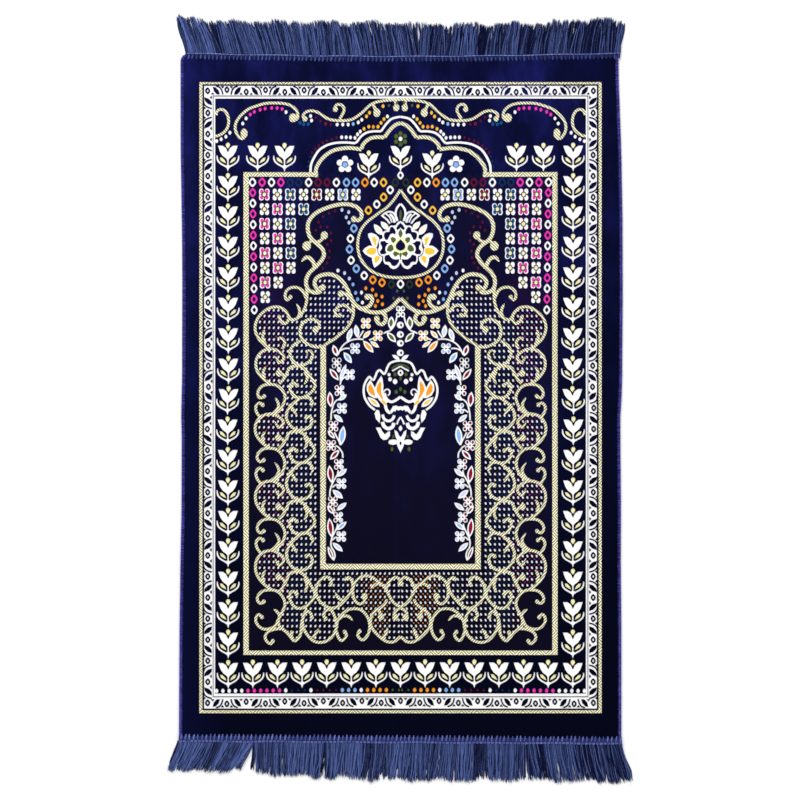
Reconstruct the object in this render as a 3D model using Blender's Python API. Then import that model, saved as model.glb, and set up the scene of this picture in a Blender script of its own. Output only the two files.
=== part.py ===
"""A prayer rug lying flat, its arch towards +Y.

A velvet cloth with an overcast binding down each long side. Across each end a woven heading is
sewn on top of the cloth, and a fringe hangs out from under it. Metres, +Z up, resting on Z = 0.
"""
import math

import bmesh
import bpy
import numpy as np

MM = 0.001

# Driving dimensions
HALF_WIDTH = 343.5 * MM       # middle to the farthest fringe tip at the side
HALF_LENGTH = 573.0 * MM      # middle to the farthest fringe tip at either end
CLOTH_THICKNESS = 3.0 * MM    # ground weave and pile together
BINDING_WIDTH = 3.6 * MM
HEADING_DEPTH = 12.0 * MM     # from the roots of the fringe to the loops on the velvet
HEADING_THICKNESS = 2.2 * MM
HEADING_OVERLAP = 2.0 * MM    # how far the heading reaches out over the roots of the fringe
FRINGE_THICKNESS = 3.0 * MM
GAP = 0.3 * MM                # between two pieces that touch

# Where the cloth ends, measured up the length, and how its two ends lie
TOP_END = 518.0 * MM
TOP_BOW = -5.0 * MM           # the middle of the top end lies this far in from its corners
BOTTOM_END = -512.0 * MM
BOTTOM_SLANT = -4.0 * MM      # the right corner of the bottom end lies this far below the left

# The side edges as they lie: up the length, left edge, right edge (all in mm from the middle)
SIDE_EDGES = (
    (-512.0, -330.8, 333.3),
    (-346.0, -329.9, 333.3),
    (-238.0, -328.5, 332.4),
    (-166.0, -326.9, 332.8),
    (-58.0, -326.6, 331.8),
    (-22.0, -327.6, 331.8),
    (14.0, -326.6, 334.5),
    (50.0, -325.5, 334.5),
    (148.0, -325.2, 335.4),
    (266.0, -326.6, 335.1),
    (374.0, -328.4, 333.2),
    (482.0, -328.5, 329.3),
    (518.0, -328.5, 329.0),
)

# Radius of each rounded corner of the cloth
CORNER_RADIUS = {
    ("bottom", "left"): 3.0 * MM,
    ("bottom", "right"): 4.0 * MM,
    ("top", "left"): 11.0 * MM,
    ("top", "right"): 4.0 * MM,
}

# The headings: left end and right end of each
HEADING_SPAN = {
    "top": (-318.5 * MM, 331.0 * MM),
    "bottom": (-330.5 * MM, 333.5 * MM),
}

# The fringes: share of the way across, sideways lean of the tip and length of the yarns (mm)
FRINGE_LIE = {
    "top": (
        (0.00, -17.0, 57.0),
        (0.10, -17.0, 50.0),
        (0.22, -12.0, 51.0),
        (0.36, -8.0, 52.0),
        (0.52, -9.0, 50.0),
        (0.56, 5.0, 48.0),
        (0.80, 7.0, 48.0),
        (0.93, 8.0, 53.0),
        (1.00, 4.0, 50.0),
    ),
    "bottom": (
        (0.00, -18.0, 42.0),
        (0.08, -22.0, 46.0),
        (0.16, -20.0, 44.0),
        (0.19, -5.0, 52.0),
        (0.40, -6.0, 56.0),
        (0.60, -5.0, 57.0),
        (0.76, 0.0, 56.0),
        (0.80, 8.0, 56.0),
        (1.00, 15.0, 59.0),
    ),
}

# Where the yarns part: share of the way across, depth from the tips (mm)
FRINGE_PARTINGS = {
    "top": ((0.26, 12.0), (0.54, 16.0), (0.88, 8.0)),
    "bottom": ((0.17, 42.0), (0.33, 14.0), (0.58, 9.0), (0.78, 22.0), (0.95, 12.0)),
}

TEETH = 56                    # tufts stated in each fringe
NOTCH_DEPTH = 5.0 * MM        # between two tufts, where the fringe does not part
TIP_SHARE = 0.5               # width of a tuft's tip, as a share of its root
UNEVEN_TIPS = 2.5 * MM        # how much the tufts differ in length
TIP_WAVES = (2.4, 0.9)        # radians from one tuft to the next of the two waves that differ them
END_TUFT_FOOT = 0.5           # share of the yarns' length at which the two outermost tufts start
BOW_FADE = 4                  # power with which an end's bow fades towards the other end
ROWS = 34                     # rows of faces up the length of the cloth
COLUMNS = 8                   # columns of faces across it
CORNER_ROWS = 5               # rows of faces in a rounded corner

# Colours: red, green, blue, roughness
NAVY_VELVET = (0.008, 0.006, 0.060, 0.85)
EDGING_BLUE = (0.045, 0.045, 0.300, 0.80)
HEADING_BLUE = (0.060, 0.075, 0.240, 0.75)
FRINGE_BLUE = (0.050, 0.065, 0.190, 0.70)


def clear_scene():
    """Start from an empty scene."""
    for item in list(bpy.data.objects):
        bpy.data.objects.remove(item, do_unlink=True)


def yarn_material(name, finish):
    """A matt material of one colour."""
    red, green, blue, roughness = finish
    material = bpy.data.materials.new(name)
    material.use_nodes = True
    shader = material.node_tree.nodes["Principled BSDF"]
    shader.inputs["Base Color"].default_value = (red, green, blue, 1.0)
    shader.inputs["Roughness"].default_value = roughness
    shader.inputs["Metallic"].default_value = 0.0
    return material


def side_edge(side, up):
    """X of the cloth's left or right edge at the height `up`, read from the table."""
    table = np.array(SIDE_EDGES) * MM
    column = 1 if side == "left" else 2
    return np.interp(up, table[:, 0], table[:, column])


def end_line(end, across):
    """Y of the cloth's end at the place `across`: bowed at the top, slanting at the bottom."""
    share = (across + HALF_WIDTH) / (2.0 * HALF_WIDTH)
    if end == "top":
        return TOP_END + TOP_BOW * np.sin(math.pi * np.clip(share, 0.0, 1.0))
    return BOTTOM_END + BOTTOM_SLANT * share


def corner_inset(end, side, distance):
    """How far a rounded corner draws the side in, at a distance from the cloth's end."""
    radius = CORNER_RADIUS[(end, side)]
    if distance >= radius:
        return 0.0
    return radius - math.sqrt(radius ** 2 - (radius - distance) ** 2)


def row_heights():
    """Heights of the cloth's rows: even ones, and closer ones in the rounded corners."""
    deepest = max(CORNER_RADIUS.values())
    corner = [deepest * (1.0 - math.cos(0.5 * math.pi * i / CORNER_ROWS)) for i in range(CORNER_ROWS)]
    lower = [BOTTOM_END + step for step in corner]
    upper = [TOP_END - step for step in reversed(corner)]
    middle = np.linspace(BOTTOM_END + deepest, TOP_END - deepest, ROWS + 1)
    return lower + list(middle) + upper


def side_at(side, up, inset):
    """X of the side at a height, drawn in by `inset` and by its rounded corners."""
    rounding = max(corner_inset("bottom", side, up - BOTTOM_END),
                   corner_inset("top", side, TOP_END - up))
    inward = 1.0 if side == "left" else -1.0
    return side_edge(side, up) + inward * (inset + rounding)


def lie(across, up):
    """Y of a point of the cloth once its ends have taken their bow and slant."""
    share = (up - BOTTOM_END) / (TOP_END - BOTTOM_END)
    shift_top = end_line("top", across) - TOP_END
    shift_bottom = end_line("bottom", across) - BOTTOM_END
    return up + share ** BOW_FADE * shift_top + (1.0 - share) ** BOW_FADE * shift_bottom


def add_slab(name, points, faces, bottom, top, material):
    """Close a flat layer of faces between two heights and add it to the scene."""
    mesh = bpy.data.meshes.new(name)
    shape = bmesh.new()
    corners = [shape.verts.new((x, y, bottom)) for x, y in points]
    layer = [shape.faces.new([corners[i] for i in face]) for face in faces]
    raised = bmesh.ops.extrude_face_region(shape, geom=layer)
    for item in raised["geom"]:
        if isinstance(item, bmesh.types.BMVert):
            item.co.z = top
    bmesh.ops.recalc_face_normals(shape, faces=shape.faces)
    shape.to_mesh(mesh)
    shape.free()
    piece = bpy.data.objects.new(name, mesh)
    piece.data.materials.append(material)
    bpy.context.scene.collection.objects.link(piece)
    return piece


def grid_faces(rows, columns):
    """Quads of a grid of points stored row by row."""
    faces = []
    for row in range(rows - 1):
        for column in range(columns - 1):
            start = row * columns + column
            faces.append((start, start + 1, start + columns + 1, start + columns))
    return faces


def make_cloth():
    """The velvet cloth between its two bindings, one flat sheet."""
    inset = BINDING_WIDTH + GAP
    heights = row_heights()
    points = []
    for up in heights:
        left = side_at("left", up, inset)
        right = side_at("right", up, inset)
        for across in np.linspace(left, right, COLUMNS + 1):
            points.append((across, lie(across, up)))
    faces = grid_faces(len(heights), COLUMNS + 1)
    return add_slab("rug", points, faces, 0.0, CLOTH_THICKNESS, yarn_material("navy_velvet", NAVY_VELVET))


def make_binding(side):
    """The overcast edging of one long side: a strip that follows the cloth round its corners."""
    heights = row_heights()
    insets = (0.0, BINDING_WIDTH)
    if side == "right":
        insets = (BINDING_WIDTH, 0.0)
    points = []
    for up in heights:
        for inset in insets:
            across = side_at(side, up, inset)
            points.append((across, lie(across, up)))
    faces = grid_faces(len(heights), 2)
    return add_slab("binding_" + side, points, faces, 0.0, CLOTH_THICKNESS,
                    yarn_material("edging_" + side, EDGING_BLUE))


def outward(end):
    """+1 towards the top end, -1 towards the bottom end."""
    return 1.0 if end == "top" else -1.0


def make_heading(end):
    """The woven heading: a band that lies on the end of the cloth and on the fringe's roots."""
    left, right = HEADING_SPAN[end]
    stations = np.linspace(left, right, 2 * COLUMNS + 1)
    points = []
    for across in stations:
        outer = end_line(end, across) + outward(end) * HEADING_OVERLAP
        inner = outer - outward(end) * HEADING_DEPTH
        points.append((across, outer))
        points.append((across, inner))
    faces = grid_faces(len(stations), 2)
    bottom = CLOTH_THICKNESS + GAP
    return add_slab("heading_" + end, points, faces, bottom, bottom + HEADING_THICKNESS,
                    yarn_material("heading_" + end, HEADING_BLUE))


def fringe_value(end, column, share):
    """One column of the fringe's table at a share of the way across, in metres."""
    table = np.array(FRINGE_LIE[end])
    return np.interp(share, table[:, 0], table[:, column] * MM)


def parting_depth(end, share):
    """Depth of the gap between two tufts, deeper where the yarns part."""
    nearest = [depth * MM for place, depth in FRINGE_PARTINGS[end] if abs(place - share) < 0.5 / TEETH]
    return max(nearest + [NOTCH_DEPTH])


def make_fringe(end):
    """The fringe: one comb, its tufts leaning and ending unevenly, with gaps where they part.

    Each tuft is a tapering face from its root to its tip, and neighbours share the foot of the
    gap between them.
    """
    left, right = HEADING_SPAN[end]
    out = outward(end)
    reach = out * HALF_LENGTH
    points = []
    for i in range(TEETH + 1):
        share = i / TEETH
        across = left + share * (right - left)
        root = end_line(end, across) + out * GAP
        length = fringe_value(end, 2, share)
        foot = 1.0 - parting_depth(end, share) / length
        if i in (0, TEETH):
            foot = END_TUFT_FOOT
        lean = fringe_value(end, 1, share) * foot ** 2
        points.append((across, root))
        points.append((across + lean, root + out * length * foot))
    tips_from = len(points)
    for i in range(TEETH):
        share = (i + 0.5) / TEETH
        middle = left + share * (right - left)
        uneven = UNEVEN_TIPS * math.sin(TIP_WAVES[0] * i) * math.cos(TIP_WAVES[1] * i)
        length = fringe_value(end, 2, share) + uneven
        tip = end_line(end, middle) + out * (GAP + length)
        tip = min(tip, reach) if end == "top" else max(tip, reach)
        half = 0.5 * TIP_SHARE * (right - left) / TEETH
        lean = fringe_value(end, 1, share)
        for side in (-1.0, 1.0):
            place = middle + lean + side * half
            points.append((min(max(place, -HALF_WIDTH), HALF_WIDTH), tip))
    faces = []
    for i in range(TEETH):
        root_left, foot_left = 2 * i, 2 * i + 1
        root_right, foot_right = 2 * i + 2, 2 * i + 3
        tip_left, tip_right = tips_from + 2 * i, tips_from + 2 * i + 1
        faces.append((root_left, root_right, foot_right, foot_left))
        faces.append((foot_left, foot_right, tip_right, tip_left))
    return add_slab("fringe_" + end, points, faces, 0.0, FRINGE_THICKNESS,
                    yarn_material("fringe_" + end, FRINGE_BLUE))


def main():
    """Build every piece of the rug."""
    clear_scene()
    make_cloth()
    for side in ("left", "right"):
        make_binding(side)
    for end in ("top", "bottom"):
        make_heading(end)
        make_fringe(end)


main()
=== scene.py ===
"""A prayer rug seen from straight above: navy velvet with a flat-woven pattern let into its pile,
overcast sides, and a looped heading and a fringe at each end.

The pattern is set out on a weaver's chart. A chart point is (column, row); columns run to the
right and rows towards the lower end, one every CHART_STEP. Shapes are laid on the chart one over
another, the chart is cut into triangles along their outlines, and each triangle becomes pile or
flat weave. Most motifs are drawn once, on the left, and mirrored about the middle column.
Sizes are in metres unless a name or a comment says otherwise; those on the chart are in its steps.
"""
import math

import bpy
import numpy as np
from mathutils.geometry import delaunay_2d_cdt
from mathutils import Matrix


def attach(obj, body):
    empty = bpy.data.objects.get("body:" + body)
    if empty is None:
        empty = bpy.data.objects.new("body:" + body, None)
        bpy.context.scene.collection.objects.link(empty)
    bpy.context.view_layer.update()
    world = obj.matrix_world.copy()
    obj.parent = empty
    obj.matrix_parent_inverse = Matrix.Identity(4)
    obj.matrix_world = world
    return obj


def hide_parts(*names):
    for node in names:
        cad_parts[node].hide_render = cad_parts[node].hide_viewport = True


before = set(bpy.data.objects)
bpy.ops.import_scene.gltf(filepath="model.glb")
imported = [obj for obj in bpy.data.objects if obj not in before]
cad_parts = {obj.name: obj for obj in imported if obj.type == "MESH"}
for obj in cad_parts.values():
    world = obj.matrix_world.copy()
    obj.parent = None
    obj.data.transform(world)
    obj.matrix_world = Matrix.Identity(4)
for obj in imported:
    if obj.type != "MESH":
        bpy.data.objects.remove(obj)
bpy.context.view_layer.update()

MM = 0.001
TINY = 1e-9                   # keeps a length of nothing from being divided by

# ---------------------------------------------------------------- chart
CHART_STEP = 1.5 * MM
CENTRE_COLUMN = 399.3         # chart column over X = 0
CENTRE_ROW = 399.0            # chart row over Y = 0
MIRROR_COLUMN = 400.5         # the pattern is mirrored about this column
CURVE_STEP = 1.7              # between the points of a sampled curve
LEAF_STATIONS = 9

(PILE, GOLD, ROPE, BAR, WHITE, CREAM, MAGENTA, TEAL, DIM_TEAL, SKY, PALE, RED, DIM_RED, ORANGE, YELLOW,
 GREEN, DIM_GREEN) = range(17)

shapes = []                   # (colour, polygon), later ones over earlier ones


def points(*flat):
    """Pairs of numbers as an array of chart points."""
    return np.array(flat, float).reshape(-1, 2)


def both(column):
    """A column and its mirror image."""
    return column, 2.0 * MIRROR_COLUMN - column


def mirrored(polygon):
    """The polygon's mirror image about the middle column."""
    return polygon * (-1.0, 1.0) + (2.0 * MIRROR_COLUMN, 0.0)


def completed(half):
    """A closed outline from its left half, which starts and ends on the middle column."""
    return np.concatenate((half, mirrored(half)[-2:0:-1]))


def put(colour, *polygons):
    """Lay polygons on the chart in one colour."""
    shapes.extend((colour, polygon) for polygon in polygons)


def put_pair(colour, *polygons):
    """Lay polygons and their mirror images on the chart."""
    for polygon in polygons:
        put(colour, polygon, mirrored(polygon))


def box(left, top, right, bottom):
    """A rectangle."""
    return points(left, top, right, top, right, bottom, left, bottom)


def oval(column, row, across, down, corners=12, fullness=2.0):
    """A superellipse: |x / across| ** fullness + |y / down| ** fullness = 1; near 1 it is a diamond."""
    angle = math.tau * np.arange(corners) / corners
    x, y = (np.sign(way) * np.abs(way) ** (2.0 / fullness) for way in (np.cos(angle), np.sin(angle)))
    return np.column_stack((column + across * x, row + down * y))


def four_petals(column, row, reach, tall, *size):
    """Four ovals round a point, `reach` aside and `tall` up and down from it, the left two first."""
    return [oval(column + side * reach, row + end * tall, *size) for side in (-1, 1) for end in (-1, 1)]


def leaf(root, tip, width, belly=0.5, grow=0.0):
    """A leaf between two points: its half width is a half sine of the share along it, to the power
    0.85, and `belly` is the share at which it is widest. `grow` makes it longer at both ends."""
    root = np.array(root, float)
    tip = np.array(tip, float)
    length = np.hypot(*(tip - root))
    ahead = (tip - root) / length
    aside = np.array((-ahead[1], ahead[0]))
    share = np.linspace(0.0, 1.0, LEAF_STATIONS)
    half = 0.5 * width * np.sin(math.pi * share ** (math.log(0.5) / math.log(belly))) ** 0.85
    spine = root - ahead * grow + np.outer(share * (length + 2.0 * grow), ahead)
    return np.concatenate((spine + np.outer(half, aside), (spine - np.outer(half, aside))[-2:0:-1]))


def curve(stops):
    """A smooth line through a few points: cubic stretches whose slope at a stop is half the way
    between its neighbours (Catmull and Rom's rule), sampled about every CURVE_STEP."""
    stops = np.asarray(stops, float)
    padded = np.concatenate((2.0 * stops[:1] - stops[1:2], stops, 2.0 * stops[-1:] - stops[-2:-1]))
    spans = np.hypot(*(stops[1:] - stops[:-1]).T)
    counts = np.maximum(1, np.ceil(spans / CURVE_STEP)).astype(int)
    stretch = np.repeat(np.arange(len(spans)), counts)
    t = np.concatenate([np.arange(count) / count for count in counts])[:, None]
    before, here, after, beyond = (padded[stretch + shift] for shift in range(4))
    slope_in = 0.5 * (after - before)
    slope_out = 0.5 * (beyond - here)
    line = ((2 * t ** 3 - 3 * t ** 2 + 1) * here + (t ** 3 - 2 * t ** 2 + t) * slope_in
            + (3 * t ** 2 - 2 * t ** 3) * after + (t ** 3 - t ** 2) * slope_out)
    return np.concatenate((line, stops[-1:]))


def stroke(stops, width, tips=(1.0, 1.0)):
    """A band along a curve, as a run of four-sided pieces whose corners are in order of bearing.
    `tips` are the shares of the width at its two ends; from there it swells, as the power 0.7 of
    the way, to its full width a quarter of the way along."""
    line = curve(stops)
    ahead = np.gradient(line, axis=0)
    ahead = ahead / np.maximum(np.hypot(*ahead.T)[:, None], TINY)
    aside = np.column_stack((-ahead[:, 1], ahead[:, 0]))
    share = np.linspace(0.0, 1.0, len(line))
    start, end = (tip + (1.0 - tip) * np.clip(way * 4.0, 0.0, 1.0) ** 0.7
                  for tip, way in zip(tips, (share, 1.0 - share)))
    half = (0.5 * width * start * end)[:, None]
    left = line + aside * half
    right = line - aside * half
    quads = np.stack((left[:-1], left[1:], right[1:], right[:-1]), axis=1)
    spokes = quads - quads.mean(axis=1, keepdims=True)
    order = np.argsort(np.arctan2(spokes[:, :, 1], spokes[:, :, 0]), axis=1)
    return list(np.take_along_axis(quads, order[:, :, None], axis=1))


# ---------------------------------------------------------------- border
ROPE_FRAME = (199.4, 82.2, 713.0)          # outer left column, top row, bottom row
BAND_FRAMES = (                            # inset from the rope's outer edge: left, top, bottom; colour
    (0.0, 0.0, 0.0, ROPE), (3.3, 2.4, 3.2, PILE), (4.8, 3.7, 4.6, WHITE), (13.7, 13.6, 16.1, PILE),
    (14.15, 14.2, 16.7, WHITE), (16.0, 16.6, 19.7, PILE),
)
GLYPH_TOP_PITCH = 19.27
GLYPH_SIDE_PITCH = 21.06
GLYPH_LENGTH = 19.25                       # of one stretch as it is drawn
GLYPH_CORNER = (207.8, 92.0)
GLYPH_TOP_ROW = 91.0
GLYPH_BOTTOM_ROW = 702.7
GLYPH_SIDE_INSET = 0.6
EYE_SIDE_INSET = 0.2
EYE_INSETS = (0.8, -1.2)                   # how far in the eyes stand, by turns


def border_frames():
    """The rope, the white band and its fine lines: rectangles one inside another. The top and
    bottom ropes run across, so they are bars, with their own zones of twill."""
    left, top, bottom = ROPE_FRAME
    for inset_left, inset_top, inset_bottom, colour in BAND_FRAMES:
        edge, far_edge = both(left + inset_left)
        put(colour, box(edge, top + inset_top, far_edge, bottom - inset_bottom))
    aside, upper, lower, _ = BAND_FRAMES[1]
    edge, far_edge = both(left + aside)
    for row, depth in ((top, upper), (bottom - lower, lower)):
        put(BAR, box(edge, row, far_edge, row + depth))


def glyph_unit(origin, along, inward, pitch, flip):
    """One stretch of the band's pattern, from one eye to the next: a triangle on the inner edge, a
    leaf, a thin curved line and a triangle on the outer edge. `along` and `inward` are unit steps
    on the chart; `flip` runs the stretch the other way."""
    origin, along, inward = (np.array(pair, float) for pair in (origin, along, inward))

    def on_band(*flat):
        share, depth = np.hsplit(points(*flat), 2)
        share = share / GLYPH_LENGTH
        if flip:
            share = 1.0 - share
        return origin + share * pitch * along + depth * inward

    put(PILE, on_band(3.4, 3.5, 5.1, 1.5, 6.7, 3.5))
    put(PILE, on_band(5.0, -3.9, 8.0, -3.5, 11.0, -0.4, 12.2, 3.6, 9.0, 3.3, 6.4, 0.6))
    put(PILE, *stroke(on_band(8.6, -5.0, 12.0, -3.5, 14.1, -0.5, 15.2, 3.5), 1.35))
    put(PILE, on_band(13.3, -4.6, 16.5, -4.6, 14.9, -2.3))


def glyph_eye(column, row):
    """One eye of the band: a dark pointed ring on white."""
    put(PILE, oval(column, row, 2.6, 3.5, 10, 1.5))
    put(WHITE, oval(column, row, 0.95, 1.45, 8))


def glyph_band():
    """The band's pattern along all four sides: it turns over at every eye, and the eyes of the top
    and bottom stand nearer the inner and the outer edge by turns."""
    left, top = GLYPH_CORNER
    left, right = both(left)
    across = round((right - left) / GLYPH_TOP_PITCH)
    down = round((GLYPH_BOTTOM_ROW - top) / GLYPH_SIDE_PITCH)
    step = (right - left) / across
    side_step = (GLYPH_BOTTOM_ROW - top) / down
    for i in range(across):
        start = left + i * step
        glyph_unit((start, GLYPH_TOP_ROW), (1, 0), (0, 1), step, i % 2 == 1)
        glyph_unit((start, GLYPH_BOTTOM_ROW), (1, 0), (0, -1), step, i % 2 == 1)
    for i in range(across + 1):
        inset = EYE_INSETS[i % 2] if 0 < i < across else 0.0
        glyph_eye(left + i * step, GLYPH_TOP_ROW + inset)
        glyph_eye(left + i * step, GLYPH_BOTTOM_ROW - inset)
    for i in range(down):
        start = top + i * side_step
        for way, column in zip((1, -1), both(left + GLYPH_SIDE_INSET)):
            glyph_unit((column, start), (0, 1), (way, 0), side_step, i % 2 == 1)
    for i in range(1, down):
        for column in both(left + EYE_SIDE_INSET):
            glyph_eye(column, top + i * side_step)


# ---------------------------------------------------------------- small motifs
TULIP_ROW = 145.0                          # of the upper tulips and the first of each side
TULIP_SIDE = (18, 228.0, 0.022, 30.42)     # how many, first column, step in columns, step in rows
TULIP_FOOT = (14, 228.4, 662.0)            # how many spaces, first column, row
TULIP_UPPER_COLUMNS = (257.7, 284.6)
TULIP_ARCH = (368.8, 152.5)                # beside the middle one under the arch


def tulip(column, row, bud=True):
    """A tulip: a gold bud at (column, row) in a notched white cup, a stem with two cupping leaves
    and two gold lozenges, and a pointed foot."""
    at = np.array((column, row))
    rim = points(-10.0, 0.6, -5.2, 0.7, -1.8, 3.2, -0.3, 7.0)
    side = points(9.2, 3.0, 7.6, 7.4, 5.2, 11.0, 1.9, 13.4, 0.75, 15.0)
    white = np.concatenate((rim, rim[::-1] * (-1, 1), side, side[::-1] * (-1, 1)))
    put(WHITE, white + at)
    put(WHITE, box(-0.75, 14.5, 0.75, 22.5) + at)
    put(WHITE, points(-2.6, 20.6, 0.0, 19.6, 2.6, 20.6, 1.2, 23.2, 0.0, 27.0, -1.2, 23.2) + at)
    for flip in ((-1, 1), (1, 1)):
        cupping = points(10.8, 10.4, 10.7, 13.4, 9.4, 16.6, 6.4, 19.2, 3.4, 20.8, 0.6, 22.6)
        put(WHITE, *stroke(cupping * flip + at, 1.8, (0.6, 1.0)))
        put(CREAM, points(8.3, 12.3, 5.6, 12.7, 3.0, 15.4, 1.6, 18.6, 4.2, 17.5, 7.2, 15.6) * flip + at)
    if bud:
        put(CREAM, points(-2.3, 0.0, -1.7, -1.7, 0.0, -2.6, 1.7, -1.7, 2.3, 0.0, 1.5, 2.0, 0.0, 3.8,
                          -1.5, 2.0) + at)


def tulips():
    """Tulips in a column down each side and a row across the lower border, and above the frame."""
    count, first, outward_step, pitch = TULIP_SIDE
    places = [(first + outward_step * i, TULIP_ROW + pitch * i) for i in range(count)]
    places += [(column, TULIP_ROW) for column in TULIP_UPPER_COLUMNS] + [TULIP_ARCH]
    for column, row in places:
        for at in both(column):
            tulip(at, row)
    spaces, first, row = TULIP_FOOT
    for column in np.linspace(*both(first), spaces + 1)[1:-1]:
        tulip(column, row)
    tulip(MIRROR_COLUMN, TULIP_ROW, bud=False)


def eye_ring(column, row, colour, across=3.9, down=5.0):
    """A pointed ring with a dark eye."""
    put(colour, oval(column, row, across, down, 12, 1.5))
    put(PILE, oval(column, row, across - 1.95, down - 2.5, 8, 1.35))


def eye_ring_pair(column, row, *look):
    """A ring and its mirror image."""
    for at in both(column):
        eye_ring(at, row, *look)


RING_TOP_ROW = 182.3
RING_ROW = (                               # the row of rings under the upper edge: column, colour
    (252.6, WHITE), (262.2, MAGENTA), (271.6, WHITE), (280.9, MAGENTA), (290.2, DIM_TEAL),
    (298.8, DIM_TEAL), (308.7, WHITE), (318.2, DIM_RED), (327.2, DIM_RED), (336.4, WHITE), (346.5, SKY),
    (355.6, SKY), (364.9, ORANGE), (374.2, WHITE), (383.5, YELLOW), (395.2, DIM_GREEN),
)
RING_COLUMN = (12, 252.8, 0.13, 192.6, 10.66)   # how many, first column and step, first row and step
RINGS = (                                  # rings round the medallion: column, row, colour
    (390.2, 189.8, WHITE), (383.6, 197, YELLOW), (376.8, 204.2, WHITE), (368.4, 210.2, YELLOW),
    (353.9, 228.3, SKY), (350.4, 238.6, WHITE), (349.5, 249.2, SKY), (351.1, 260.2, WHITE),
    (356.3, 268.6, SKY), (364.2, 275.5, WHITE), (372.8, 279.8, ORANGE), (382, 282.5, ORANGE),
    (391.4, 284.3, DIM_GREEN),
)


def rings():
    """The row and the columns of rings inside the frame, and the rings round the medallion."""
    for column, colour in RING_ROW:
        eye_ring_pair(column, RING_TOP_ROW, colour)
    count, column, column_step, row, row_step = RING_COLUMN
    for i in range(count):
        eye_ring_pair(column + column_step * i, row + row_step * i, (MAGENTA, WHITE)[i % 2], 3.6, 4.9)
    for column, row, colour in RINGS:
        eye_ring_pair(column, row, colour, 3.9, 4.8)
    eye_ring(MIRROR_COLUMN, 284.0, WHITE)
    eye_ring(MIRROR_COLUMN, 175.2, WHITE, 3.4, 4.4)


FLOWER_COLUMNS = (264.4, 277.4, 290.4, 303.6, 316.7, 329.7, 342.9, 356.0)
FLOWER_ROWS = (8, 4, 3, 3, 3, 3, 2, 1)     # flowers in each row
FLOWER_FIRST_ROW = 194.5
FLOWER_PITCH = 14.66
FLOWER_SHIFT = 0.12                        # sideways, from one row to the next
FLOWER_COLOURS = (MAGENTA, MAGENTA, TEAL, TEAL, RED, RED, SKY, SKY)


def grid_flower(column, row, colour):
    """A four-petalled flower: all white, or white with a coloured heart in every petal and a white
    bar on each side between the petals."""
    if colour == WHITE:
        put(WHITE, *four_petals(column, row, 2.55, 3.15, 2.2, 2.95, 9, 2.4))
    else:
        put(WHITE, *four_petals(column, row, 2.9, 3.2, 2.55, 2.95, 9, 2.4))
        for bar in (column - 4.3, column + 4.3):
            put(WHITE, box(bar - 0.7, row - 2.0, bar + 0.7, row + 2.0))
        put(colour, *four_petals(column, row, 2.6, 2.9, 1.75, 2.3, 8))
    put(PILE, oval(column, row, 2.7, 3.0, 8))
    put(CREAM, oval(column, row, 1.95, 2.3, 8))


def flower_grid():
    """Rows of flowers that fill the upper corners, coloured ones and white ones by turns."""
    for j, count in enumerate(FLOWER_ROWS):
        for i in range(count):
            colour = FLOWER_COLOURS[i] if (i + j) % 2 == 0 else WHITE
            for column in both(FLOWER_COLUMNS[i] + FLOWER_SHIFT * j):
                grid_flower(column, FLOWER_FIRST_ROW + FLOWER_PITCH * j, colour)


BEADS = {                                  # runs of dots: colour, then column, row, column, row ...
    WHITE: (216.8, 141.2, 221.3, 139.3, 226, 136.7, 230, 132.7, 242.9, 123.5, 246.2, 118.3, 286.1, 111.9,
            310.7, 115.7, 311.6, 120.3, 337.2, 124.2, 342.8, 124.2, 348.2, 124.2, 361.8, 119.4, 387.4, 116,
            341.7, 137, 346.2, 137, 350.5, 137.2, 355, 137.6, 358.3, 122, 357.6, 134, 360.3, 131.2,
            338, 270.5, 361.5, 292.5, 362.4, 302.5),
    MAGENTA: (250.4, 114.4, 254.4, 111.7, 260.2, 109.6, 265.2, 108.4, 271.8, 107.8, 277.2, 107.8,
              282.2, 108.7),
    RED: (325.7, 123.3),
    TEAL: (300, 122.5, 303.8, 124, 308.3, 123.7),
    DIM_TEAL: (310.4, 156.6, 308.8, 161.4, 308, 166.2),
    DIM_RED: (316, 117, 320.5, 120.5, 330.8, 124, 312.2, 152.4, 315.2, 148.6, 318.8, 145.4, 322.9, 142.5,
              327, 140.5, 332, 139, 336.6, 137.2, 335.2, 210.8, 329, 213, 323, 216.5, 318.5, 222,
              320.7, 226.8, 327.3, 226.8, 316, 230, 331, 232.8, 331, 240.5, 327.3, 244.3, 329.6, 251,
              329, 257.5, 327, 263, 323, 268),
    SKY: (353.2, 123.6, 353, 284.4, 355.6, 292.8, 357.6, 299.2),
    PALE: (342, 209.8, 348.7, 212, 346.3, 217.2, 349, 222.5, 344.6, 273, 349.3, 278.5),
    YELLOW: (366.5, 116, 369.5, 112.3, 383.1, 105.7, 364, 128.5, 368.8, 126.3, 378, 126.3, 381, 122.5,
             384, 118.7),
    ORANGE: (373.3, 126.5, 365.8, 288.2, 372.4, 289.7, 376, 295, 377.7, 301, 375.4, 306, 382.4, 304.2,
             382, 296.6),
    GREEN: (389, 105, 393.6, 298.2, 397.2, 291, 397, 102.5),
}
SMALL_BEADS = (DIM_RED, DIM_TEAL, GREEN)   # dots of these colours show smaller


def bead_pair(column, row, colour, size):
    """A small dot, taller than wide, and its mirror image."""
    put_pair(colour, oval(column, row, 1.7 * size, 2.2 * size, 8, 1.75))


def beads():
    """The runs of dots that follow the scrolls."""
    for colour, run in BEADS.items():
        for column, row in points(*run):
            bead_pair(column, row, colour, 0.8 if colour in SMALL_BEADS else 1.0)


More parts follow.
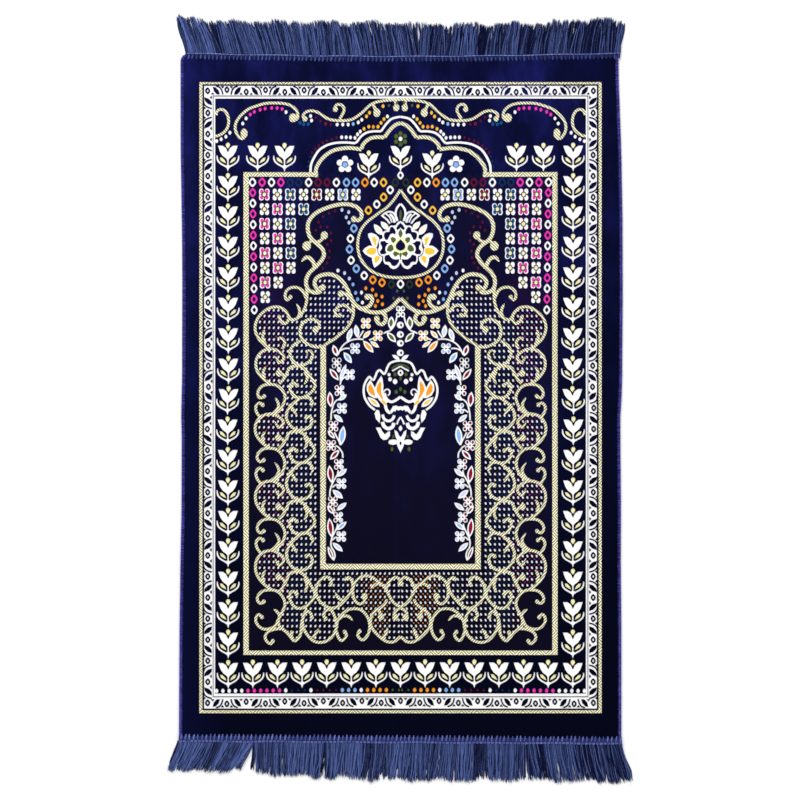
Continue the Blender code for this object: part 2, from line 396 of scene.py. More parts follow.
# ---------------------------------------------------------------- frame, arch and medallion
FRAME_LEFT = 246.2                         # the middle of the inner frame's left rope
FRAME_TOP = 174.4
FRAME_FOOT = 652.7
FRAME_HALF = (2.8, 2.4, 2.3)               # half widths of its sides, its top and its foot
STEP_END = 318.2                           # where the frame's top ends at the arch
NICHE = (320.2, 345.0, 569.4)              # the niche's rope: outer column, top row, foot row
NICHE_ROPE = (5.8, 5.7)                    # its width at the side and at the foot
ARCH_GOLD = (
    (316, 177.2, 316.3, 168, 322.3, 158.4, 331.3, 151.3, 340, 148.6, 350, 147.7, 361.6, 149.2),
    (361.6, 149, 362.6, 145, 366, 141, 370.6, 138, 377, 136.8, 384.4, 137.2),
    (384.4, 137.2, 387, 133.5, 391, 128.5, 396, 124.2, 400.5, 122.8),
)
ARCH_WHITE = (
    (310.4, 172.4, 311.6, 163, 318, 151.3, 325.4, 145.8, 334, 143, 345, 142.2, 355.4, 143),
    (355.4, 143, 358, 140.2, 361, 136.2, 366, 132.6, 373, 131, 381, 131),
    (381, 131, 383.6, 127.2, 388, 121.6, 392.6, 118, 400.5, 116.3),
)
MEDALLION = (
    400.5, 189.6, 396, 196.6, 391, 203, 386, 208, 380, 212, 374, 216.5, 368, 221, 363, 226.6, 359.6, 233,
    358, 240, 357.8, 248, 359.6, 256, 363.4, 263, 369, 269, 376, 273.4, 384, 276, 392, 277.3, 400.5, 277.6
)


def frame_and_arch():
    """The inner rope frame with its stepped and lobed arch, the white line outside the arch, and
    the rope round the niche."""
    aside, upper, lower = FRAME_HALF
    left, right = both(FRAME_LEFT - aside)
    for line in ARCH_WHITE:
        put_pair(WHITE, *stroke(points(*line), 2.5))
    for line in ARCH_GOLD:
        put_pair(GOLD, *stroke(points(*line), 4.0))
    put_pair(BAR, box(left, FRAME_TOP - upper, STEP_END, FRAME_TOP + upper))
    put(BAR, box(left, FRAME_FOOT - lower, right, FRAME_FOOT + lower))
    put_pair(ROPE, box(left, FRAME_TOP - upper, FRAME_LEFT + aside, FRAME_FOOT + lower))
    column, top, foot = NICHE
    put_pair(ROPE, box(column, top, column + NICHE_ROPE[0], foot))
    put(BAR, box(column, foot - NICHE_ROPE[1], both(column)[1], foot))


# Scrolls: how each end finishes (o a knob, O a large one, < a point, - runs into another band),
# then its stops.
SCROLL_SIZES = {"top": (3.0, 2.7), "side": (4.1, 3.0), "column": (3.0, 2.1)}   # width, knob's radius
LARGE_KNOB = 1.55                          # how much larger than the others
KNOB_HEIGHT = 1.12                         # of its width
POINT_WIDTH = 0.3                          # of the band's width
SCROLLS = {
    "top": (
        ("--", 216.4, 115.4, 217, 111.6, 220.4, 109.4, 224.6, 110.6, 227.6, 115, 228.8, 121, 227.6, 127.6,
         224, 132.4, 219.6, 135.2, 215.4, 136.4),
        ("-O", 244.8, 135.8, 243.4, 138.4, 240.6, 138.4, 237.6, 135, 235.4, 129.6, 235.8, 123.4, 238.8, 118,
         243, 113.4, 248.6, 109, 256.6, 105.8, 266, 103.2, 277, 102.8, 286, 103.6, 292.4, 106.2,
         296.8, 110.6, 298, 115.6, 296.6, 119.4, 293.2, 117.6),
        ("o-", 305, 118.6, 303, 115.6, 305.4, 112.2, 310.6, 110.4, 316.6, 111.4, 322, 114.6, 328, 118.4,
         335, 120, 345, 120.2, 352, 118.9, 358, 115.4, 363, 111.4, 367, 107.4, 371, 104, 377, 101.4,
         385, 100, 393, 99.3, 400.5, 99),
        ("o-", 335.4, 108.8, 335.6, 105.4, 338.8, 103.8, 342.4, 105.2, 344.2, 109, 342.8, 113.4,
         339.6, 118.6),
    ),
    "side": (
        ("o-", 353.8, 219, 358.4, 220.2, 361.6, 216.6, 360.6, 211, 356.4, 206.8, 350, 204.5, 343, 204,
         335, 205.2, 326, 208, 318, 211.7, 312, 216.6, 308.5, 222.2, 307.8, 228.4, 309, 234.4, 311.6, 239.2,
         315.6, 242.6, 320, 246, 323, 250.2, 324, 254.8, 322, 259.6, 318.4, 264, 313.8, 268.4, 309.4, 272.8,
         306.8, 277.6, 306, 283, 307.4, 288.2, 311.2, 291.6, 317, 292.6, 321.4, 291),
        ("-<", 316, 269, 314.2, 264.4, 312, 260.2, 308.6, 257.4, 305, 258, 301.6, 261.6),
        ("--", 318.6, 290, 315.2, 286, 314.8, 281, 317.8, 277, 323, 274.8, 330, 274.2, 336, 276.2, 341, 280,
         345, 285, 348.2, 291, 351.2, 298, 354.6, 304, 358.6, 307.2, 364, 309.8, 370, 311.8, 378, 312.4,
         386, 310.6, 392.4, 306.4, 396.6, 302, 400.5, 298.2),
        ("-o", 360.6, 308.8, 366.4, 307.6, 370.6, 304.4, 372.2, 299.8, 370.6, 295.8, 367.2, 296.8),
        ("-o", 380.6, 311.4, 385, 315.4, 385.6, 320.6, 382.2, 324.2, 378, 322.6, 376.8, 318.8),
    ),
    "column": (
        ("--", 306.4, 286, 307, 296, 306, 304, 303.4, 311, 299, 317, 293.8, 319.6, 290, 318.6, 287, 313,
         282.4, 308.4, 276.6, 306.8, 270, 307.8, 264, 311.4, 258.6, 317, 255.4, 324, 255.4, 331.4,
         258.6, 338.6, 262.6, 342.8, 267, 347, 271, 348.8),
        ("-o", 306.2, 298, 302.6, 290.8, 297, 287.4, 290.4, 287.8, 286, 291.6, 285.2, 297, 287.6, 300,
         290.4, 297),
        ("<-", 296.6, 303.6, 299.2, 309, 299.4, 314, 297.4, 318),
        ("-o", 288.8, 318.4, 287, 322.4, 284, 323.6, 281.2, 321.4, 279.2, 317.4),
        ("<-", 264.6, 329.4, 262.9, 334, 262.9, 339, 265.8, 344.6),
        ("<-", 277, 338.6, 280.4, 337.8, 283.6, 340, 284.6, 344, 282.2, 349),
        ("O-", 315.6, 329.4, 319.2, 326.4, 318.4, 322.4, 315, 319.8, 309.6, 319.2, 304.6, 321.6, 301, 326,
         299.8, 331.6, 301, 337, 304.2, 341.6, 309.6, 345, 316, 347, 322, 346.6),
        ("-<", 300.4, 341, 295.6, 343.6, 291.6, 347.4, 289.8, 352, 290.6, 357, 293.4, 361.6, 298, 364.8,
         304, 364.6, 309.4, 361.4, 312.4, 356.4, 311.6, 352, 308.6, 350.2, 306.8, 352.4, 307.6, 355.6),
        ("o-", 340, 315.2, 336.8, 315.8, 335.2, 311.6, 338, 306.8, 343.4, 305.2, 348.2, 307.4,
         351.8, 312.4),
        ("--", 352.6, 303.6, 353.6, 311, 352.4, 318, 349.4, 324.4, 345, 330, 339.4, 334.8, 334.6, 338.8,
         329.6, 341.8, 324, 345.4),
        ("-o", 270, 589.6, 276, 590.6, 281, 594.4, 284.4, 600, 285, 605, 283.4, 609.8, 280.4, 615,
         278.2, 620, 275.4, 625.6, 270, 628.6, 264, 629, 259.4, 626.6, 256.2, 622, 256, 617.6, 258.8, 614.2,
         262, 617),
        ("<-", 273.6, 609, 277, 611.4, 279.6, 615.6, 278.4, 620.4),
        ("--", 278.6, 621, 279.4, 626, 283.4, 629.6, 287.6, 633.2, 291.4, 638, 294.6, 641, 298.4, 638.4,
         301, 633.4, 301.4, 627, 302.2, 621, 304.2, 615, 308, 610),
        ("o-", 272.8, 641, 270.8, 643.8, 267.4, 641.8, 265.2, 637.6, 266.8, 633.2, 271, 630.4, 277, 628.8,
         281.4, 628.8),
        ("o-", 292, 632.6, 291.6, 636, 293.4, 639.6),
        ("--", 306.4, 610.4, 303.4, 616, 302.6, 622, 304.2, 629.6, 308.4, 636.2, 313.6, 641, 320, 642.6,
         327, 641, 332.4, 636.4, 335.8, 630.2, 336.4, 624, 334.6, 616, 331, 609.6),
        ("-o", 308, 610.6, 311.2, 614, 311.8, 617.2),
        ("o-", 325.6, 618.6, 323.4, 615, 325.6, 611, 330.4, 609),
        ("<-", 319, 628.6, 316.6, 632.8, 312.8, 637.8),
        ("o-", 330.8, 584.4, 331.6, 580.4, 329, 577.4, 324.4, 577.2, 320, 580.4, 317, 585.6, 316, 591.4,
         317.4, 597, 320.6, 602, 325.6, 606, 331.4, 608.2, 338, 606.4, 344, 601, 349.4, 594.4, 352.6, 587.6,
         352.2, 581.6, 349.4, 577.6, 346.2, 578, 344.8, 580.8),
        ("<-", 335.4, 592.4, 338, 597.6, 344, 601.2),
        ("--", 352.4, 591, 354.2, 584, 357.6, 579.4, 362.4, 576.4, 368.4, 576, 374, 578.4, 379, 582.6,
         384, 586.4, 387.4, 592, 390.6, 598.4, 395, 603.8, 400.5, 606.8),
        ("<-", 370.8, 588.8, 374.4, 585, 380, 583.4),
        ("-O", 352.8, 591, 353.4, 596.6, 355.4, 601.2, 359.6, 604, 364, 601.8, 364.6, 596.4),
        ("--", 386.4, 588.6, 388.6, 583, 392, 578.8, 396.6, 577.2, 400.5, 580.4),
        ("-O", 400.5, 608, 396.6, 610.2, 394, 613.6, 395.4, 617.4),
        ("-o", 336.8, 628, 337.2, 622.6, 340, 617, 344, 612.6, 349, 609.6, 355, 608.6, 360.6, 609.8,
         365, 613.4, 368.4, 619, 369.8, 625.6, 369, 632, 366.4, 637.2, 362.8, 640.2, 359.2, 638,
         357.6, 634.6, 359.6, 631.4),
        ("-o", 336.4, 631, 338.2, 637, 341.2, 640.8, 344.6, 638.8, 346.6, 635, 344.8, 632),
        ("-<", 339.6, 619, 343.4, 616.2, 348.4, 616.4, 353, 620.8),
        ("--", 387, 599.4, 385, 603.6, 381, 607.4, 376.6, 609.8, 373, 613.4, 371, 618, 370.6, 624,
         372.8, 629.4, 377, 634.4, 382.4, 639.2, 388, 642.2, 394, 642, 397.6, 639.2, 400.5, 636.6),
        ("-O", 378.4, 609.4, 380.2, 613.4, 381, 616.6), ("<-", 387.4, 627.6, 386.4, 632, 383.2, 638.4),
    ),
}
# The scroll column repeats four times, a little longer towards the foot. Each part has its own
# places: first row and stretch down the chart; its stops count rows from there.
REPEATS = {
    "lobe": (
        ((349, 0.95), (414, 0.93), (481, 1.01), (550.5, 1.04)),
        (
            ("--", 272, -0.4, 266, 0.6, 262, 2.6, 258.5, 6.3, 256.2, 11, 255.6, 16.4, 256.6, 22,
             259.6, 27.3, 263.6, 31.8, 268, 35.2, 271.4, 37.4),
            ("-<", 272, -0.4, 277, 1.6, 281.2, 4.6, 283.8, 8, 282.8, 11.4, 279.4, 14.2, 277, 11.4,
             275.2, 7.4),
            ("<-", 265.8, 18.4, 263.6, 22, 262.8, 26, 264.4, 31), ("O-", 278.6, 25.4, 282.6, 27, 285, 30.4),
        ),
    ),
    "hook": (
        ((384.2, 1), (448, 1.07), (518.8, 1.03)),
        (
            ("--", 270, 0, 275.5, 0.8, 280, 3.6, 283.3, 8, 285, 13, 284.5, 18, 282.5, 22.5, 279.5, 26.5,
             276, 29, 272, 30.2),
            ("<-", 275, 13.4, 277.8, 17, 279.2, 21, 277.4, 25.2, 274.4, 28.4, 271.6, 30),
            ("o-", 263.2, 20.6, 260.2, 18.6, 257.4, 20.4, 256.2, 24, 257.2, 28, 259.4, 31.4, 261.6, 33.6),
        ),
    ),
    "upper hook": (
        ((384.2, 1), (448, 1), (518.8, 1.02), (589.8, 0.98)),
        (("-o", 270, 0, 264, 0.8, 260, 3.4, 257.6, 7.4, 257.8, 11.2, 260.6, 13.8, 264, 12),),
    ),
    "ring": (
        ((365.5, 1), (430.8, 1), (500.3, 1.05), (571, 1.16)),
        (
            ("--", 298, 0.4, 292, 1, 289, 3, 287.2, 6.5, 285.2, 10.5, 282.5, 14.5, 279, 18),
            ("-o", 298, 0, 303, 2.5, 307, 6.5, 310.5, 11.5, 313, 15.5, 315, 19.5, 313.6, 23.5, 310, 27.6,
             305, 31, 300, 32.2, 295, 31, 291.5, 27.5, 289.8, 23, 290.4, 19, 293.4, 17.4, 296.8, 19.8),
            ("<-", 304.2, 18.6, 306.6, 14.6, 306.8, 10.4, 304.4, 6),
        ),
    ),
    "lower ring": (
        ((398, 1), (463.2, 1.13), (534, 1.13)),
        (
            ("-o", 300, 0.4, 296, 3.4, 292, 7, 289, 11, 286.8, 16, 287, 21, 289.7, 26, 293.6, 30, 299, 32,
             305, 31.4, 309.6, 28.8, 312.2, 24.6, 311.8, 20.4, 309.2, 18.2, 306.6, 19.6),
            ("-<", 300, 0, 307.4, -0.8, 311.4, 2, 312.8, 5.4, 311.4, 9.4),
            ("-<", 289.6, 6, 293, 10.6, 297.2, 17),
        ),
    ),
}
KNOBS = (                                  # single knobs: column, row, half width, half height, corners
    (306.7, 246, 4.4, 4.9, 14), (324.3, 235.3, 3.7, 4.2, 14), (323, 287.4, 2.8, 3.6),
    (340.8, 293.6, 3.4, 3.4), (244.2, 133.4, 3.6, 5.2, 14), (376.8, 112.3, 3.7, 4.5),
    (396.2, 107.3, 3.3, 3.8),
)
STALKS = (                                 # short bands from scrolls to knobs: width, then stops
    (3, 308.6, 243.4, 311.6, 240.4), (3.4, 315.6, 242.6, 320.6, 240.6, 323.4, 237),
    (3.2, 341.6, 293, 345.6, 294, 350, 298), (3.2, 372.6, 103, 376, 110), (3, 395.2, 99.6, 396.2, 106),
)


def placed(stops, row, stretch):
    """A repeat's stops in their place on the chart."""
    return points(*stops) * (1.0, stretch) + (0.0, row)


def lay_scroll(ends, stops, width, knob):
    """One scroll and its mirror image: a band with a knob or a point at its free end."""
    put_pair(GOLD, *stroke(stops, width, [POINT_WIDTH if end == "<" else 1.0 for end in ends]))
    for end, (column, row) in ((ends[0], stops[0]), (ends[1], stops[-1])):
        if end in "oO":
            size = knob * (LARGE_KNOB if end == "O" else 1.0)
            put_pair(GOLD, oval(column, row, size, size * KNOB_HEIGHT))


def scrolls():
    """All gold scrolls: the upper border, the sides of the medallion, the columns and the foot, with
    their knobs, and the medallion's outline."""
    for place, size in SCROLL_SIZES.items():
        for ends, *stops in SCROLLS[place]:
            lay_scroll(ends, points(*stops), *size)
    for places, parts in REPEATS.values():
        for row, stretch in places:
            for ends, *stops in parts:
                lay_scroll(ends, placed(stops, row, stretch), *SCROLL_SIZES["column"])
    for knob in KNOBS:
        put_pair(GOLD, oval(*knob))
    for width, *stops in STALKS:
        put_pair(GOLD, *stroke(points(*stops), width))
    put_pair(GOLD, *stroke(points(*MEDALLION), 3.0))
    put(GOLD, oval(MIRROR_COLUMN, 583.4, 3.2, 2.6))


# ---------------------------------------------------------------- dotted ground
DOT_FIRST = np.array((259.9, 281.0))       # column and row of the first dot
DOT_PITCH = np.array((4.63, 5.85))
DOT_COUNT = (31, 62)                       # enough to cover the ground
DOT_SIZE = (1.1, 1.5, 7)                   # half width, half height, corners
DOT_SLANT = 0.22
DOT_RIGHT = (
    316, 283, 319, 277, 326, 275, 334, 277.5, 341, 283, 347, 292, 353, 305, 352, 319, 345, 330, 336, 338,
    326, 344, 317.8, 351, 317.8, 570, 400.5, 570, 400.5, 637, 394, 641, 387, 640, 376, 633, 371.5, 627,
    371, 618, 366.5, 612, 358, 607.5, 350, 608, 344, 611.5, 339, 616, 336, 622, 336, 631, 332, 638,
    325, 642, 316, 642, 309, 638, 304, 631, 301.5, 634, 297, 640, 291, 636, 284, 629, 278.6, 623,
    280.6, 615, 284.5, 608, 284.5, 600, 281, 594
)
DOT_UPPER_LOBE = (
    260, 341, 255.5, 333, 255, 325, 257.5, 317, 263, 311, 270, 308, 277, 307.5, 283, 310, 288, 316,
    292, 319.5, 297.5, 318.5, 303, 313, 307.5, 305, 309, 296, 314, 293
)
# Coloured dots between the white ones: left, right, top and foot of the place where they are,
# colour, size of every third dot and of the others
DIM_DOTS = (
    (255, 287, 280, 660, MAGENTA, 0.6, 0.36), (361, 389, 572, 640, ORANGE, 0.66, 0.66),
    (338, 361, 572, 612, SKY, 0.4, 0.24), (338, 352, 290, 330, SKY, 0.42, 0.252),
    (287, 316, 320, 625, DIM_TEAL, 0.8, 0.8),
)


def inside(polygon, places):
    """Which places lie in a polygon: those from which a ray to the right crosses it an odd number
    of times."""
    x, y = places[:, 0][:, None], places[:, 1][:, None]
    start, end = polygon, np.roll(polygon, -1, axis=0)
    straddles = (start[:, 1] > y) != (end[:, 1] > y)
    climb = np.where(end[:, 1] == start[:, 1], TINY, end[:, 1] - start[:, 1])
    crossing = start[:, 0] + (y - start[:, 1]) * (end[:, 0] - start[:, 0]) / climb
    return (straddles & (x < crossing)).sum(axis=1) % 2 == 1


def dotted_ground():
    """Small dots in rows between the scrolls, with smaller coloured ones between them. The left
    edge of the ground is the outer band of every lobe and hook of the scroll column."""
    lobes, lobe_parts = REPEATS["lobe"]
    hooks, hook_parts = REPEATS["hook"]
    edges = [placed(lobe_parts[0][1:], *lobes[0])]
    for lobe, hook in zip(lobes[1:], hooks):
        edges.append(placed(hook_parts[0][1:], *hook))
        edges.append(placed(lobe_parts[0][1:], *lobe))
    ground = np.concatenate((points(*DOT_RIGHT), np.concatenate(edges)[::-1], points(*DOT_UPPER_LOBE)))
    steps = np.stack(np.meshgrid(*map(np.arange, DOT_COUNT)), axis=-1).reshape(-1, 2)
    grid = DOT_FIRST + DOT_PITCH * steps
    dot = oval(0.0, 0.0, *DOT_SIZE)
    dot[:, 0] -= DOT_SLANT * dot[:, 1]
    for place in grid[inside(ground, grid)]:
        put_pair(WHITE, dot + place)
    between = grid + 0.5 * DOT_PITCH
    between = between[inside(ground, between)]
    for index, (column, row) in enumerate(between):
        for left, right, top, foot, colour, *sizes in DIM_DOTS:
            if left < column < right and top < row < foot:
                put_pair(colour, dot * sizes[index % 3 > 0] + (column, row))


FOOT_ROW = 690.8
FOOT_PITCH = 6.28
FOOT_FIRST = 216.8
FOOT_SIZES = (1.12, 0.672)                 # of the bright and of the dim dots
FOOT_RUN = ((WHITE,) * 5 + (MAGENTA,) * 6 + (WHITE,) + (DIM_TEAL,) * 3 + (WHITE,) + (DIM_RED,) * 4
            + (SKY,) * 3 + (WHITE,) + (ORANGE,) * 4 + (GREEN,) * 2)


def foot_beads():
    """The row of dots under the lower tulips, mirrored from both ends."""
    for i, colour in enumerate(FOOT_RUN):
        bead_pair(FOOT_FIRST + FOOT_PITCH * i, FOOT_ROW, colour, FOOT_SIZES[colour in SMALL_BEADS])


# ---------------------------------------------------------------- flowers
VINE_LEAVES = (                            # column and row of the root and the tip, width, core
    (337, 356.5, 333, 344.6, 5.8, RED), (347.2, 341.6, 351.8, 327.8, 5.6, PALE),
    (357.6, 338, 355.6, 324.4, 5.8, PALE), (362.6, 338.6, 370.8, 330.4, 4.8, YELLOW),
    (363, 340.4, 373.6, 352.8, 6.2, ORANGE), (370, 341, 379.2, 347.6, 4.4, YELLOW),
    (390.6, 329.6, 391.6, 316, 6.6, GREEN), (386.6, 332, 396.2, 342.4, 6.2, GREEN),
    (343.5, 352, 351.8, 363.2, 6.2, SKY), (339.5, 381.2, 346.2, 363.8, 4.9, PALE),
    (338.6, 380.4, 329.3, 368.4, 5.8, RED), (331.4, 407.4, 329.3, 391.4, 6.6, RED),
    (338.6, 400.4, 346.8, 394.2, 5, PALE), (333.8, 414.4, 343.4, 422.2, 5.2, PALE),
    (335.2, 438.6, 327.8, 430.4, 4.6, RED), (341, 445.6, 343.8, 425.4, 7.2, SKY),
    (339.6, 449.6, 330, 459.8, 5.8, RED), (337.2, 476.8, 347.2, 468.4, 5.2, PALE),
    (331.8, 483.2, 329.4, 465, 6.8, RED), (332.5, 489.6, 343.2, 498.6, 6, PALE),
    (334.2, 514.2, 327.2, 505.4, 4.8, RED), (336.4, 510.6, 347, 502.4, 5.2, PALE),
    (336.4, 530.2, 346.8, 521.4, 5.2, SKY), (331.6, 537.6, 329.4, 517.8, 6.8, RED),
    (332.4, 542.4, 343, 551.6, 5.4, PALE), (333.6, 560.6, 327.8, 546, 4.4, RED),
)
VINE_FLOWERS = (                           # column, row, colour of the left and the right petals
    (355, 348.5, SKY, SKY), (336.6, 363, PILE, PILE), (349.8, 374.5, PALE, PALE), (339.3, 390.5, RED, PALE),
    (342.2, 408.3, SKY, PALE), (333.6, 426, RED, RED), (331.2, 445.3, RED, RED), (339, 464.2, RED, PALE),
    (341.5, 483.5, PALE, PALE), (333, 501.5, RED, RED), (338.3, 517.2, RED, PALE),
    (341.3, 536.4, PALE, PALE), (365.8, 323.3, YELLOW, YELLOW), (377.8, 335.7, YELLOW, ORANGE),
)
VINE_STEMS = (
    (337.6, 355, 341, 348, 345, 343.5, 350, 340.6, 355, 339.2, 360, 339, 363.6, 339.6),
    (339, 351.6, 342, 349.5, 346, 348.3, 350, 348.6), (358.5, 338, 361, 334.5, 363.5, 330.5),
    (369, 340.2, 374, 338), (383.5, 333.5, 386.5, 331.8, 390, 330.6, 393.2, 327, 395.6, 322, 396.8, 316.6),
    (340, 385, 341.2, 380.2, 345.4, 376.4),
    (331.2, 420, 331.5, 414, 332.4, 409, 334, 404, 336.4, 400.6, 340, 398.8),
    (333, 412.5, 335.5, 410.5, 338, 409.3), (334.5, 432, 336.6, 436.4, 339.2, 441, 340.6, 445),
    (335.5, 445.5, 338.5, 447, 340.8, 450, 342.6, 453.2, 343, 458),
    (338.4, 470, 337.6, 474.4, 335.4, 478, 333, 482.4, 331, 487.2, 330, 492, 330, 496),
    (332.4, 487.6, 335, 485.2, 337.8, 484.2), (333.5, 507, 335.2, 511.4),
    (337.8, 523.5, 337, 527.6, 334.2, 533, 331.9, 538, 331, 543, 331.6, 547.4, 334, 551.2, 335, 556,
     333.5, 560.5),
    (332.4, 540.2, 334.8, 537.8, 337.4, 537),
)


def cored_leaf(root_column, root_row, tip_column, tip_row, width, core, belly=0.5, rim=1.5):
    """A white leaf with a coloured core, unless the colour is None."""
    ends = (root_column, root_row), (tip_column, tip_row)
    put_pair(WHITE, leaf(*ends, width, belly))
    if core is not None:
        put_pair(core, leaf(*ends, width - 2.0 * rim, belly, grow=-1.7 * rim))


def vine_flower(column, row, left, right):
    """Four rounded petals with coloured hearts round a dark eye; `left` and `right` colour them."""
    put_pair(WHITE, *four_petals(column, row, 2.6, 2.9, 2.4, 2.6, 10))
    put_pair(WHITE, oval(column, row, 2.6, 2.8, 8))
    hearts = four_petals(column, row, 2.7, 3.0, 1.3, 1.55, 8)
    put_pair(left, *hearts[:2])
    put_pair(right, *hearts[2:])
    put_pair(PILE, oval(column, row, 0.75, 0.85, 6))


def vines():
    """The flowering vine down each side of the niche, its top bent in under the scrolls."""
    for stem in VINE_STEMS:
        put_pair(WHITE, *stroke(points(*stem), 1.7))
    for vine_leaf in VINE_LEAVES:
        cored_leaf(*vine_leaf)
    for flower in VINE_FLOWERS:
        vine_flower(*flower)
    eye_ring_pair(338.8, 369.6, WHITE, 2.3, 2.9)


def hanging_beads():
    """The green-hearted flower under the scrolls and the chain of rings the lamp hangs from."""
    put(WHITE, *four_petals(MIRROR_COLUMN, 311.6, 2.2, 3.0, 2.5, 2.9, 10))
    put(GREEN, *four_petals(MIRROR_COLUMN, 311.6, 2.3, 3.1, 1.2, 1.4, 7))
    put(WHITE, oval(MIRROR_COLUMN, 311.8, 1.9, 2.2, 8))
    put(PILE, oval(MIRROR_COLUMN, 311.8, 0.8, 0.9, 6))
    for row in (325.0, 334.5, 343.2, 352.8):
        put(WHITE, oval(MIRROR_COLUMN - 0.2, row, 3.6, 3.5, 14))
        put(PILE, oval(MIRROR_COLUMN + 0.6, row, 0.95, 1.4, 8))


def petal_ring(column, row, across, down, petals, first, *size):
    """Ovals at even bearings on an ellipse round a point; `first` is the first one's share of a
    pitch past the right-hand side."""
    angle = math.tau * (np.arange(petals) + first) / petals
    return [oval(column + across * math.cos(a), row + down * math.sin(a), *size) for a in angle]


def arch_flowers():
    """Flowers under the arch: a five-petalled one each side and a dim green one at the top."""
    put_pair(WHITE, *petal_ring(345.0, 164.2, 5.4, 5.6, 5, -1.25, 3.3, 3.3))
    put_pair(PILE, oval(345.0, 164.2, 3.3, 3.3, 10))
    put_pair(SKY, oval(345.0, 164.4, 2.8, 2.9, 10))
    put(GREEN, *petal_ring(MIRROR_COLUMN, 138.6, 5.0, 5.4, 6, 0.5, 2.3, 2.6, 9))
    put(WHITE, oval(MIRROR_COLUMN, 138.6, 2.1, 2.5, 10))


FLOWER_MASS = (
    400.5, 220.6, 397.4, 222.3, 395.6, 225.2, 393, 225.5, 391, 225.2, 389.2, 226.4, 388.4, 229.6,
    386, 230.2, 383.4, 231.3, 382.1, 234, 382.5, 238, 379.6, 239.6, 378.6, 242.6, 379.1, 246, 377.8, 249.6,
    378.2, 253, 380.6, 255.6, 383.2, 256.4, 383, 260.4, 384.6, 264, 388.2, 265, 390.6, 268, 393, 269.2,
    396, 268.6, 398.6, 266.4, 400.5, 262.6
)
FLOWER_CELLS = (                           # the dark cells between the flower's white ribs
    (401, 222.8, 398.2, 224.8, 396.2, 228.2, 397.4, 230, 399.2, 228.8, 401, 226.8),
    (390.3, 227.6, 392.6, 226.9, 394.6, 229, 395.7, 232.4, 395, 234.4, 392.8, 233.2, 390.4, 233.9,
     388.9, 236.8, 387.4, 239.8, 385.4, 239.5, 384, 236.4, 384.2, 233.6, 386, 232.2, 389.4, 231.8),
    (380.8, 241.4, 384.9, 241, 386.2, 242.6, 388.6, 243.3, 386.6, 244.9, 385.4, 247, 385.2, 250.2,
     386.5, 252.6, 384.4, 254.1, 380.8, 254, 379.8, 251.6, 382, 248.8, 382, 246.2, 380.4, 243.8),
    (384.9, 255.8, 389, 254.6, 390.6, 257.2, 393.2, 259.2, 396.4, 259.7, 398.8, 258.9, 399.1, 261.4,
     396.6, 265, 394, 266.2, 391.6, 265, 390.3, 262.5, 388.2, 261.5, 385.6, 262, 384.6, 259.4),
)
FLOWER_PETALS = (                          # the green petals round the heart
    (401, 228.8, 398.9, 231.4, 398.2, 233.9, 399.5, 237, 401, 238),
    (390.4, 238, 393, 236.8, 395.6, 238.4, 396.2, 240.8, 394.2, 243.6, 391.6, 241.8),
    (387, 250.9, 387.2, 248.2, 388.8, 245.6, 391.4, 244.2, 393.4, 246.4, 393.6, 249.6, 391, 251.8,
     388.4, 251.4),
    (394, 251.2, 393, 254, 394.8, 256.9, 397.4, 255.5, 399.8, 253.9, 398.4, 252.2, 396.2, 251.6),
    (401, 252, 399, 254, 399.9, 257.4, 400.3, 259.7, 401, 259.8),
)
HEART_RING = (400.5, 237.6, 397.6, 240.4, 395.1, 243.6, 394.6, 247.4, 396.6, 250.4, 400.5, 252)
FLOWER_LINES = (                           # white lines in the medallion: width, then stops
    (2.3, 400.5, 203.6, 397.5, 207, 395.8, 211, 395.7, 216, 397.2, 221),
    (2, 381.3, 216.2, 385, 213.2, 389, 211.6, 393, 212.6, 396, 216.5, 397.6, 221),
    (2, 382.4, 216, 386.4, 219, 390, 223.6), (1.6, 385.8, 213.6, 389.6, 217, 392.2, 222.4),
    (2.6, 389.6, 213.6, 393, 217.4, 394.8, 222.6),
)
MEDALLION_LEAVES = (                       # as VINE_LEAVES
    (388.6, 229.8, 380.6, 221.2, 5.8, CREAM), (382.4, 235, 373.8, 223.8, 6.4, CREAM),
)
SIDE_LEAVES = (                            # the three leaves each side: white shape, yellow core
    (
        (368, 233.4, 371.4, 232.6, 375.6, 234.2, 378.9, 237.4, 379.3, 240, 377.8, 243.4, 377, 247.4,
         373.6, 246.4, 371.6, 244.4, 370.2, 240.4, 368.2, 236.8),
        (371.8, 237.6, 374.4, 236.9, 377, 239.5, 375.9, 242.1, 376.5, 245.5, 374.9, 245.3, 373.4, 242.5),
    ),
    (
        (362.4, 250.8, 365, 247.8, 368.8, 245.5, 374, 245.4, 377.2, 248.4, 377.8, 253, 379.3, 255.6,
         376.3, 257.3, 372.5, 258.1, 368.8, 256.6, 365, 254),
        (365.8, 251.1, 368.8, 248.5, 372.5, 247.5, 375.9, 248.5, 376.4, 251.5, 375.1, 254.1, 371, 254.9,
         367.3, 253.4),
    ),
    (
        (371.8, 257.6, 374, 255.8, 379.3, 255.3, 382.3, 257, 381.9, 260.5, 379.4, 264.3, 374.4, 268,
         373.2, 265, 372, 260.5),
        (374.4, 257.4, 377, 255.8, 380, 256.9, 379.3, 259.8, 375.9, 263.4, 374.5, 262),
    ),
)


